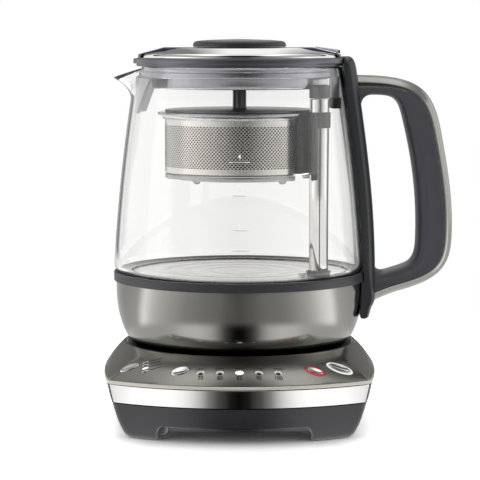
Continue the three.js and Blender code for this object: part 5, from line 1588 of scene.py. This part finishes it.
def makeStrainer():
    pitch = 2 * math.pi * basket["radius"] / basket["columns"]
    points, faces = holedTile(pitch, basket["rowPitch"], basket["holeHalfSizes"], basket["wall"])
    mesh = grownMesh("strainer", points, [], faces, strainerTree(finishes["etched_steel"][0]), {
        "Columns": basket["columns"], "Rows": basket["rows"], "Pitch": pitch / 1000,
        "Row pitch": basket["rowPitch"] / 1000, "Radius": basket["radius"] / 1000,
        "Bottom": basket["holesFrom"] / 1000, "Axis X": jugAxis.x, "Axis Y": jugAxis.y,
    })
    tidyMesh(mesh, 40)
    ridingObject("strainer_wall", mesh, "etched_steel", "basket")
    radius, inner, columns = basket["radius"], basket["radius"] - basket["wall"], basket["columns"] * 2
    bottom, holesBottom = basket["bottom"], basket["holesFrom"]
    holesTop = holesBottom + basket["rows"] * basket["rowPitch"]
    floorTop, rimTop = bottom + basket["floorWall"], basket["top"]
    cup = turned([(0, bottom), (radius - 1, bottom), (radius, floorTop), (radius, holesBottom),
                  (inner, holesBottom), (inner, floorTop), (0, floorTop)], columns)
    top = turned([(inner, holesTop), (radius, holesTop), (radius, rimTop), (inner, rimTop)], columns)
    pieceObject("strainer_cup", joined(cup, top), "etched_steel", "basket", ["basket_cup"])
    # a dark sheet just inside the holes, so that they look dark: painted shade for the inside of the basket
    linerOuter = inner - basket["linerGap"]
    linerInner = linerOuter - basket["linerWall"]
    low, high = holesBottom - basket["linerOverlap"], holesTop + basket["linerOverlap"]
    shadeLiner = turned([(linerInner, low), (linerOuter, low), (linerOuter, high), (linerInner, high)], 160)
    pieceObject("strainer_shade_liner", shadeLiner, "shade_liner", "basket")


makeStrainer()


# Rings of the basket, and the arm that carries it on the post
basketRings = {
    "flange": [(45.2, 184.3), (46.3, 184.3, 0.3), (46.7, 186.1, 1.2), (49.4, 186.9, 0.3), (49.4, 188.5, 0.4),
               (45.2, 188.5)],
    "innerRing": [(43, 185.7), (45.1, 185.7), (45.1, 188.5), (43, 188.5, 0.6)],
    "footRing": [(41, 148.6), (44.9, 148.6, 0.7), (45, 151.4, 0.3), (41, 151.4)],
    "armGap": 0.8,
    "footGap": 11,
    "bump": [(0, 147), (2.2, 147, 1.4), (2.2, 150), (0, 150)],
    "bumpCircle": 42.8,
    "bumps": 5,
}
arm = {
    "half": 10,  # degrees round the basket
    "inner": 45.4,
    "outer": 48.8,
    "bottom": 152.8,
    "top": 189.2,
    "clipInner": 5.6,
    "clipOuter": 6.3,
    "clipBottom": 179.8,
    "plateRoom": {"radius": 45.6, "bottom": 170, "top": 195},
    "jugRoom": {"radius": glassRadius(184) - 3.8, "bottom": 140, "top": 195},
    "ribPlace": (43.4, -36.4),
    "ribRadius": 1.7,
    "ribTop": 186,
    "tipBottom": 149.3,
    "tipOverlap": 0.2,
}


def makeBasketRings():
    start = post["angle"] + arm["half"] + basketRings["armGap"]
    end = post["angle"] + 360 - arm["half"] - basketRings["armGap"]
    flange = turned(softened(basketRings["flange"], 0.2), 200, sweep=(start, end))
    innerRing = turned(softened(basketRings["innerRing"], 0.2), 200)
    pieceObject("basket_flange", joined(flange, innerRing), "basket_abs", "basket", ["basket_top_ring"])
    footStart = start + basketRings["footGap"]
    footRing = turned(softened(basketRings["footRing"], 0.4), 200, sweep=(footStart, end))
    bump, bumps = softened(basketRings["bump"], 0.3), []
    for i in range(basketRings["bumps"]):
        turn = math.pi / 2 + 2 * math.pi * i / basketRings["bumps"]
        place = (basketRings["bumpCircle"] * math.cos(turn), basketRings["bumpCircle"] * math.sin(turn))
        bumps.append(turned(bump, 24, place))
    pieceObject("basket_foot_ring", joined(footRing, *bumps), "basket_abs", "basket", ["basket_bottom_ring"])


def makeArm():
    # the arm's curved plate, the clip round the post, and a rib in front of the post with a dark tip
    inner, outer, bottom, top = (arm[key] for key in ("inner", "outer", "bottom", "top"))
    plate = turned(softened([(inner, bottom), (outer, bottom, 1), (outer, top, 1), (inner, top)], 0.4), 24,
                   sweep=(post["angle"] - arm["half"], post["angle"] + arm["half"]))
    clipInner, clipOuter, clipBottom = arm["clipInner"], arm["clipOuter"], arm["clipBottom"]
    clip = turned(softened([(clipInner, clipBottom), (clipOuter, clipBottom, 0.3), (clipOuter, top, 0.3),
                            (clipInner, top)], 0.2), 64, postPlace)
    for room, operation in (("plateRoom", "DIFFERENCE"), ("jugRoom", "INTERSECT")):
        radius, low, high = (arm[room][key] for key in ("radius", "bottom", "top"))
        drum = turned([(0, low), (radius, low), (radius, high), (0, high)], 160)
        clip = cutAway(clip, [drum], operation, selfCrossing=False)
    rib = rod(*arm["ribPlace"], arm["ribRadius"], bottom, arm["ribTop"], 32, 0.4)
    pieceObject("basket_slider", joined(plate, clip, rib), "slider_abs", "basket", ["basket_arm"])
    tip = rod(*arm["ribPlace"], arm["ribRadius"], arm["tipBottom"], bottom + arm["tipOverlap"], 32, 0.4)
    pieceObject("slider_tip", tip, "foot_rubber", "basket")


makeBasketRings()
makeArm()
strainerLid = {
    "disc": [(0, 188.8), (45, 188.8), (45, 190, 0.4)],
    "stem": [(4.1, 190, 1.0), (4.1, 208, 0.6), (0, 208)],
}
strainerLidOutline = strainerLid["disc"] + strainerLid["stem"]
turnedPiece("strainer_lid", strainerLidOutline, "graphite_abs", "basket_lid", ["basket_lid"], 0.2, 160)
print("tea basket built")


# Lid: a ring with a plug below, a polished dome, a bar across it and a round knob
lid = {
    "ring": [(0, 219), (61.3, 219), (61.3, 221.2, 0.5), (59.8, 221.2), (59.8, 220), (0, 220)],
    "plug": [(0, 219.3), (56.2, 219.3), (56.2, 215, 0.2), (54.8, 215), (54.8, 212), (56.2, 212, 0.2),
             (56.2, 209.3, 0.6), (53, 209.3, 0.4), (53, 202.6, 2.2), (50.4, 202.6, 0.8), (50.4, 218.6),
             (6.7, 218.6), (6.7, 206), (4.7, 206), (4.7, 218.6), (0, 218.6)],
    "seal": [(55.1, 212.3), (56.5, 212.3, 0.9), (56.5, 214.7, 0.9), (55.1, 214.7)],
    "knob": [(0, 227.5), (28, 227.5, 0.5), (28, 229.6, 0.9), (26.5, 230.9, 1.6), (20, 231.6, 5), (0, 232.2)],
}
turnedPiece("lid_ring", lid["ring"], "graphite_abs", "lid", ["lid_body"], 0.15)
turnedPiece("lid_plug", lid["plug"], "lid_abs", "lid", fillet=0.15)
turnedPiece("lid_seal", lid["seal"], "moulded_silicone", "lid", ["lid_gasket"], segments=200)

dome = {
    "radius": 57.4,
    "wall": 0.8,
    "rimHeight": 223.6,
    "crown": 6.0,
    "flatTop": 227.0,
    "roll": 2.6,
    "edge": 220.05,
}


def domeHeight(radius):
    return min(dome["flatTop"], dome["rimHeight"] + dome["crown"] * (1 - (radius / dome["radius"]) ** 2))


def makeDome():
    radius, size, edge = dome["radius"], dome["roll"], dome["edge"]
    upper = [(radius * i / 40, domeHeight(radius * i / 40)) for i in range(41)]
    lower = [(r, z - dome["wall"]) for r, z in reversed(upper)]
    lean = math.atan(2 * dome["crown"] / radius)
    roll = []
    for i in range(1, 11):
        tilt = lerp(lean, math.pi / 2, i / 10)
        roll.append((radius + size * (math.sin(tilt) - math.sin(lean)),
                     dome["rimHeight"] - size * (math.cos(lean) - math.cos(tilt))))
    skirt = [(roll[-1][0], edge), (roll[-1][0] - dome["wall"], edge)]
    shell = turned(upper + roll + skirt + lower, 240)
    pieceObject("polished_dome", shell, "chrome_plate", "lid", ["lid_plate"], 60)


makeDome()
bridge = {
    "half": 13,
    "top": 227.2,
    "flatLeft": 45.6,
    "flatRight": 44.4,
    "reach": 60.7,
    "endTop": 223.1,
    "circle": 61.1,
    "overDome": 58,
    "rimFloor": 221,
    "thickness": 0.8,
    "sink": 0.1,
    "section": [(1, 1), (1, 0.45), (0.97, 0.15), (0.88, 0), (0.5, 0), (0, 0), (-0.5, 0), (-0.88, 0),
                (-0.97, 0.15), (-1, 0.45), (-1, 1)],  # shares across and down
}


def makeBridge():
    # the bar is flush with the dome's top in the middle, and its ends fall to the rim
    rings, steps = [], 80
    for i in range(steps + 1):
        x = lerp(-bridge["reach"], bridge["reach"], i / steps)
        flat = bridge["flatRight"] if x > 0 else bridge["flatLeft"]
        fall = max(0, (abs(x) - flat) / (bridge["reach"] - flat))
        top = lerp(bridge["top"], bridge["endTop"], fall)
        half = min(bridge["half"], math.sqrt(bridge["circle"] ** 2 - x * x))
        ring = []
        for across, down in bridge["section"]:
            y = half * across
            floor = bridge["rimFloor"]
            if abs(x) < bridge["overDome"]:
                domeTop = domeHeight(min(math.hypot(x, y), dome["radius"]))
                floor = min(domeTop - bridge["sink"], top - bridge["thickness"])
            ring.append((x, y, lerp(top, floor, down)))
        rings.append(ring)
    pieceObject("lid_bar", skinned(rings, capped=True), "graphite_abs", "lid", ["lid_bridge"], 40)


makeBridge()
turnedPiece("lift_knob", lid["knob"], "charcoal_abs", "lid", ["lid_knob"], segments=200)
tab = {
    "start": 45.6,
    "end": 59.2,
    "half": 6,
    "startThickness": 0.5,
    "endThickness": 2.2,
    "taper": 0.12,
    "taperFrom": 0.85,
    "padRadius": 1.3,
    "padOut": 0.2,
    "padBelow": 0.1,
    "padShort": 0.5,
}


def makeTab():
    slope = (bridge["top"] - bridge["endTop"]) / (bridge["reach"] - bridge["flatRight"])
    rings = []
    for i in range(13):
        share = i / 12
        x = lerp(tab["start"], tab["end"], share)
        bottom = bridge["top"] - slope * (x - bridge["flatRight"]) + seam
        top = bottom + lerp(tab["startThickness"], tab["endThickness"], share)
        pinch = max(0, (share - tab["taperFrom"]) / (1 - tab["taperFrom"]))
        half = tab["half"] * (1 - tab["taper"] * pinch ** 2)
        section = softened([(-half, bottom), (half, bottom), (half, top), (-half, top)], 0.45, closed=True)
        rings.append([(x, y, z) for y, z in section])
    pieceObject("lid_catch", skinned(rings, capped=True), "pale_grey_abs", "lid", ["lid_tab"], 50)
    padTop = bottom + tab["endThickness"] - tab["padShort"]
    pad = rod(tab["end"] + tab["padOut"], 0, tab["padRadius"], bottom - tab["padBelow"], padTop, 24, 0.5)
    pieceObject("lid_catch_pad", pad, "foot_rubber", "lid")


makeTab()
print("lid built")

# The CAD pieces that keep their own shape
nodeFinishes = {
    "control_board": "solder_mask",
    "power_board": "solder_mask",
    "strength_switch": "black_abs",
    "temperature_switch": "black_abs",
    "warm_switch": "black_abs",
    "start_switch": "black_abs",
    "floor_seal": "moulded_silicone",
    "heater_plate": "cast_aluminium",
    "heating_element": "cast_aluminium",
    "temperature_probe": "spun_steel",
    "handle_screw_upper": "drawn_steel",
    "handle_screw_lower": "drawn_steel",
    "lift_motor": "cast_aluminium",
    "lift_screw": "drawn_steel",
    "magnet_carriage": "nickel_plate",
    "basket_magnet": "nickel_plate",
}
for nodeName, finish in nodeFinishes.items():
    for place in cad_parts[nodeName].material_slots:
        place.material = finishes[finish][0]


# Studio, in metres: a white floor and room, soft lamps, and cards that only polished surfaces and glass see
floorStage = {
    "radius": 1.6,
    "whiteFrom": 0.3,
    "whiteTo": 0.5,
    "paper": 0.86,
    "whitest": 2.4,
    "nearEnd": 0.18,
    "farStart": 0.22,
    "brightest": 2.0,
}
ceiling = {
    "height": 1.0,
    "halfWidth": 1.5,
    "front": -0.9,
    "back": 1.2,
    "brightest": 1.4,
    "darkAngles": (25, 75),
    "darkForward": 0.16,
    "darkLevel": 0.02,
    "fadeFrom": 0.7,
    "fadeTo": 0.95,
    "backLevel": 0.4,
}
cards = {"innerRadius": 1.5, "outerRadius": 1.45, "bottom": 0.002, "top": 1.5}
sideLamp = {"size": (0.9, 1.1), "aim": (0, 0, 0.12), "power": 4.7}
lamps = {
    "left_softbox": {"place": (-1.15, -0.8, 0.75), **sideLamp},
    "right_softbox": {"place": (1.15, -0.8, 0.75), **sideLamp},
    "top_softbox": {"place": (0, 0.1, 1.5), "size": (1.2, 1.2), "aim": (0, 0, 0.1), "power": 11.4},
}
ambient = 0.55
# Levels of light by direction from the jug, in degrees round to the right from straight ahead
nearFloorLevels = [(0, 0.004), (4, 0.012), (5.8, 0.035), (9.6, 0.085), (13.5, 0.24), (17.3, 0.58),
                   (21, 0.86), (25, 1.08), (29, 1.18), (34, 1.3), (46, 1.25), (52, 1.08), (58, 0.95),
                   (68, 0.88), (180, 0.85)]
farFloorLevels = [(-180, 0.6), (-130, 0.6), (-116, 0.72), (-103, 0.85), (-92, 2.1), (-82, 1.4),
                  (-72.6, 1.08), (-63.7, 0.91), (-55, 0.76), (-47, 0.6), (-31.6, 0.46), (-16.6, 0.37),
                  (-9, 0.25), (0, 0.2), (12.9, 0.31), (20, 0.4), (35.4, 0.48), (43.2, 0.58), (51.2, 0.75),
                  (59.5, 0.95), (68.1, 1.27), (77.2, 1.75), (87, 2.1), (97.5, 0.95), (109, 0.8),
                  (123, 0.64), (180, 0.6)]
# the floor's colour to the eye, by direction: above white, and most to the sides, painted light that washes
# out the shadows there
paintedFloorLight = [(0, 1.12), (35, 1.2), (60, 2.2), (180, 2.4)]
glassSideLevels = [(-95, 1.5), (-84, 1.5), (-65, 1.3), (-46, 0.95), (-31, 0.7), (-23, 0.5), (-15, 0.3),
                   (-8, 0.16), (0, 0.09), (8, 0.08), (15, 0.14), (23, 0.3), (31, 0.55), (46, 0.85),
                   (57, 1.05), (69, 1.2), (84, 1.45), (95, 1.45)]
glossLevels = [(-95, 1.35), (-71, 1.45), (-56, 1.04), (-43, 0.64), (-36, 0.51), (-23, 0.27), (-8, 0.07),
               (8, 0.07), (27, 0.24), (40, 0.28), (54, 0.37), (61, 0.5), (69, 0.8), (76, 0.93), (84, 1.2),
               (95, 1.2)]
flags = {
    "edge_flag": {"levels": [(146, 1.0), (150, 0.3), (155, 0.1), (161, 0.45), (165, 1.0)], "radius": 1.2,
                  "top": 0.5, "metalSees": False},
    "back_flag": {"levels": [(146, 1.0), (150, 0.22), (174, 0.22), (177.5, 1.0)], "radius": 1.15,
                  "top": 0.75, "metalSees": True},
}
# the ceiling's levels go by the metres to either side
ceilingLevels = [(0, 1.0), (0.1, 1.05), (0.23, 1.4), (0.34, 1.35), (0.45, 0.6), (0.7, 0.45), (1.5, 0.45)]


def rampStops(levels, peak):
    first, last = levels[0][0], levels[-1][0]
    return [((place - first) / (last - first), level / peak) for place, level in levels]


def newStageMaterial(name):
    material = bpy.data.materials.new(name)
    material.use_nodes = True
    material.node_tree.nodes.clear()
    return material, material.node_tree


def stageObject(name, points, faces, material):
    mesh = bpy.data.meshes.new(name)
    mesh.from_pydata(points, [], faces)
    mesh.materials.append(material)
    piece = bpy.data.objects.new(name, mesh)
    bpy.context.collection.objects.link(piece)
    return piece


def directionNodes(tree, place):
    # the parts of a place, how far ahead it is, and its direction round to the right in radians
    parts = addNode(tree, "ShaderNodeSeparateXYZ", {0: place}).outputs
    ahead = addNode(tree, "ShaderNodeMath", {"operation": "MULTIPLY", 0: parts[1], 1: -1.0}).outputs[0]
    angle = addNode(tree, "ShaderNodeMath", {"operation": "ARCTAN2", 0: parts[0], 1: ahead}).outputs[0]
    return parts, ahead, angle


def makeFloorStage():
    material, tree = newStageMaterial("white_sweep")
    rays = addNode(tree, "ShaderNodeLightPath")
    place = addNode(tree, "ShaderNodeTexCoord")
    fromJug = addNode(tree, "ShaderNodeVectorMath", {
        "operation": "SUBTRACT", 0: place.outputs["Object"], 1: tuple(jugAxis),
    })
    distance = addNode(tree, "ShaderNodeVectorMath", {"operation": "LENGTH", 0: fromJug.outputs[0]})
    reach = distance.outputs["Value"]
    seen = addNode(tree, "ShaderNodeMath", {
        "operation": "MAXIMUM", 0: rays.outputs["Is Camera Ray"], 1: rays.outputs["Is Transmission Ray"],
    })
    _, _, angle = directionNodes(tree, fromJug.outputs[0])
    spread = addNode(tree, "ShaderNodeMath", {"operation": "ABSOLUTE", 0: angle})
    nearShare = addNode(tree, "ShaderNodeMapRange", {"From Max": math.pi, "Value": spread.outputs[0]})
    farShare = addNode(tree, "ShaderNodeMapRange", {
        "From Min": -math.pi, "From Max": math.pi, "Value": angle,
    })

    # to the eye: paper that takes the shadow near the base, and plain white further out. Its colour is above
    # white, and most to the sides: painted light that washes out the side shadows
    whiter = addNode(tree, "ShaderNodeValToRGB", {
        0: nearShare.outputs[0], "stops": rampStops(paintedFloorLight, floorStage["whitest"]),
    })
    raised = addNode(tree, "ShaderNodeMath", {
        "operation": "MULTIPLY", 0: whiter.outputs[0], 1: floorStage["whitest"],
    })
    whiteness = addNode(tree, "ShaderNodeMapRange", {
        "To Min": floorStage["paper"], "To Max": raised.outputs[0], "Value": seen.outputs[0],
    })
    paper = addNode(tree, "ShaderNodeBsdfDiffuse", {"Color": whiteness.outputs[0]})
    white = addNode(tree, "ShaderNodeEmission", {"Strength": 1.0})
    fade = addNode(tree, "ShaderNodeMapRange", {
        "From Min": floorStage["whiteFrom"], "From Max": floorStage["whiteTo"], "Value": reach,
    })
    outside = addNode(tree, "ShaderNodeMath", {
        "operation": "MULTIPLY", 0: fade.outputs[0], 1: seen.outputs[0],
    })
    shown = addNode(tree, "ShaderNodeMixShader", {
        0: outside.outputs[0], 1: paper.outputs[0], 2: white.outputs[0],
    })

    # to polished surfaces: a dark table edge in front, brighter to the sides
    near = addNode(tree, "ShaderNodeValToRGB", {
        0: nearShare.outputs[0], "stops": rampStops(nearFloorLevels, floorStage["brightest"]),
    })
    far = addNode(tree, "ShaderNodeValToRGB", {
        0: farShare.outputs[0], "stops": rampStops(farFloorLevels, floorStage["brightest"]),
    })
    toFar = addNode(tree, "ShaderNodeMapRange", {
        "From Min": floorStage["nearEnd"], "From Max": floorStage["farStart"], "Value": reach,
    })
    whole = addNode(tree, "ShaderNodeMix", {
        "data_type": "RGBA", 0: toFar.outputs[0], 6: near.outputs[0], 7: far.outputs[0],
    })
    mirrored = addNode(tree, "ShaderNodeEmission", {
        "Strength": floorStage["brightest"], "Color": whole.outputs[2],
    })
    reflected = addNode(tree, "ShaderNodeMath", {
        "operation": "SUBTRACT", "use_clamp": True,
        0: rays.outputs["Is Glossy Ray"], 1: rays.outputs["Is Transmission Ray"],
    })
    mixed = addNode(tree, "ShaderNodeMixShader", {
        0: reflected.outputs[0], 1: shown.outputs[0], 2: mirrored.outputs[0],
    })
    addNode(tree, "ShaderNodeOutputMaterial", {"Surface": mixed.outputs[0]})
    radius, corners = floorStage["radius"], 96
    turns = [2 * math.pi * i / corners for i in range(corners)]
    points = [(radius * math.cos(a), radius * math.sin(a), 0) for a in turns]
    stageObject("floor", points, [tuple(range(corners))], material)


def hideFromLight(card):
    card.visible_camera = False
    card.visible_diffuse = False
    card.visible_shadow = False
    card.visible_volume_scatter = False


def curvedCard(name, levels, radius, top):
    # a standing sheet round the jug that glows by direction
    first, last = levels[0][0], levels[-1][0]
    peak = max(level for _, level in levels)
    material, tree = newStageMaterial(name)
    place = addNode(tree, "ShaderNodeTexCoord")
    _, _, angle = directionNodes(tree, place.outputs["Object"])
    share = addNode(tree, "ShaderNodeMapRange", {
        "From Min": math.radians(first), "From Max": math.radians(last), "Value": angle,
    })
    ramp = addNode(tree, "ShaderNodeValToRGB", {0: share.outputs[0], "stops": rampStops(levels, peak)})
    glow = addNode(tree, "ShaderNodeEmission", {"Strength": peak, "Color": ramp.outputs[0]})
    addNode(tree, "ShaderNodeOutputMaterial", {"Surface": glow.outputs[0]})
    steps = 64
    turns = [math.radians(lerp(first, last, i / steps)) for i in range(steps + 1)]
    heights = (cards["bottom"], top)
    points = [(radius * math.sin(a), -radius * math.cos(a), z) for z in heights for a in turns]
    faces = [(i, i + 1, steps + 2 + i, steps + 1 + i) for i in range(steps)]
    card = stageObject(name, points, faces, material)
    hideFromLight(card)
    return card


def makeCards():
    # walls in front, dark in the middle and bright to the sides, and dark flags that draw the glass's edges
    curvedCard("inner_card", glassSideLevels, cards["innerRadius"], cards["top"]).visible_glossy = False
    curvedCard("outer_card", glossLevels, cards["outerRadius"], cards["top"]).visible_transmission = False
    for name, flag in flags.items():
        opposite = [(-degrees, level) for degrees, level in reversed(flag["levels"])]
        for side, levels in (("left", opposite), ("right", flag["levels"])):
            card = curvedCard(f"{side}_{name}", levels, flag["radius"], flag["top"])
            card.visible_glossy = flag["metalSees"]
            card.visible_transmission = not flag["metalSees"]


def makeCeiling():
    # a ceiling for the dome to mirror: dark just ahead, and fading behind
    material, tree = newStageMaterial("ceiling_card")
    place = addNode(tree, "ShaderNodeTexCoord")
    parts, ahead, angle = directionNodes(tree, place.outputs["Object"])
    aside = addNode(tree, "ShaderNodeMath", {"operation": "ABSOLUTE", 0: angle})
    start, end = (math.radians(angle) for angle in ceiling["darkAngles"])
    within = addNode(tree, "ShaderNodeMapRange", {
        "interpolation_type": "SMOOTHSTEP", "Value": aside.outputs[0],
        "From Min": start, "From Max": end, "To Min": 1.0, "To Max": 0.0,
    })
    forward = addNode(tree, "ShaderNodeMapRange", {
        "interpolation_type": "SMOOTHSTEP", "Value": ahead,
        "From Min": 0.0, "From Max": ceiling["darkForward"],
    })
    dark = addNode(tree, "ShaderNodeMath", {
        "operation": "MULTIPLY", 0: within.outputs[0], 1: forward.outputs[0],
    })
    behind = addNode(tree, "ShaderNodeMapRange", {
        "interpolation_type": "SMOOTHSTEP", "Value": parts[1], "From Min": ceiling["fadeFrom"],
        "From Max": ceiling["fadeTo"], "To Min": ceiling["brightest"], "To Max": ceiling["backLevel"],
    })
    level = addNode(tree, "ShaderNodeMapRange", {
        "Value": dark.outputs[0], "To Min": behind.outputs[0], "To Max": ceiling["darkLevel"],
    })
    sideways = addNode(tree, "ShaderNodeMath", {"operation": "ABSOLUTE", 0: parts[0]})
    across = addNode(tree, "ShaderNodeMapRange", {
        "Value": sideways.outputs[0], "From Max": ceiling["halfWidth"],
    })
    panel = addNode(tree, "ShaderNodeValToRGB", {
        0: across.outputs[0], "stops": rampStops(ceilingLevels, ceiling["brightest"]),
    })
    glow = addNode(tree, "ShaderNodeEmission", {"Color": panel.outputs[0], "Strength": level.outputs[0]})
    addNode(tree, "ShaderNodeOutputMaterial", {"Surface": glow.outputs[0]})
    half, front, back, height = (ceiling[key] for key in ("halfWidth", "front", "back", "height"))
    corners = [(-half, front, height), (half, front, height), (half, back, height), (-half, back, height)]
    card = stageObject("ceiling_card", corners, [(0, 1, 2, 3)], material)
    hideFromLight(card)
    card.visible_transmission = False


def makeLamp(name, place, aim, size, power):
    lamp = bpy.data.lights.new(name, "AREA")
    lamp.shape = "RECTANGLE"
    lamp.size, lamp.size_y = size
    lamp.energy = power
    holder = bpy.data.objects.new(name, lamp)
    holder.location = place
    holder.rotation_euler = (Vector(aim) - Vector(place)).to_track_quat("-Z", "Y").to_euler()
    holder.visible_glossy = False
    holder.visible_transmission = False
    bpy.context.collection.objects.link(holder)


def makeWorld():
    world = bpy.data.worlds.new("white_room")
    bpy.context.scene.world = world
    world.use_nodes = True
    tree = world.node_tree
    tree.nodes.clear()
    rays = addNode(tree, "ShaderNodeLightPath").outputs
    direct = addNode(tree, "ShaderNodeMath", {
        "operation": "MAXIMUM", 0: rays["Is Camera Ray"], 1: rays["Is Glossy Ray"],
    })
    seen = addNode(tree, "ShaderNodeMath", {
        "operation": "MAXIMUM", 0: direct.outputs[0], 1: rays["Is Transmission Ray"],
    })
    level = addNode(tree, "ShaderNodeMapRange", {
        "To Min": ambient, "To Max": 1.0, "Value": seen.outputs[0],
    })
    background = addNode(tree, "ShaderNodeBackground", {"Color": (1, 1, 1, 1), "Strength": level.outputs[0]})
    addNode(tree, "ShaderNodeOutputWorld", {"Surface": background.outputs[0]})


makeFloorStage()
makeCards()
makeCeiling()
for lampName, lamp in lamps.items():
    makeLamp(lampName, **lamp)
makeWorld()


# Camera: at the height of the lid's middle and a long way off, as for a catalogue picture
view = {
    "distance": 1.282,
    "height": 0.2366,
    "aimHeight": 0.1105,
    "aside": 0.0003,
    "lens": 158.95,
    "sensor": 36,
}


def makeCamera():
    data = bpy.data.cameras.new("camera")
    data.sensor_width = view["sensor"]
    data.lens = view["lens"]
    holder = bpy.data.objects.new("camera", data)
    place = Vector((jugAxis.x + view["aside"], jugAxis.y - view["distance"], view["height"]))
    target = Vector((jugAxis.x + view["aside"], jugAxis.y, view["aimHeight"]))
    holder.location = place
    holder.rotation_euler = (target - place).to_track_quat("-Z", "Y").to_euler()
    bpy.context.collection.objects.link(holder)
    bpy.context.scene.camera = holder


makeCamera()
bpy.context.scene.view_settings.view_transform = "Standard"
print("studio set up")
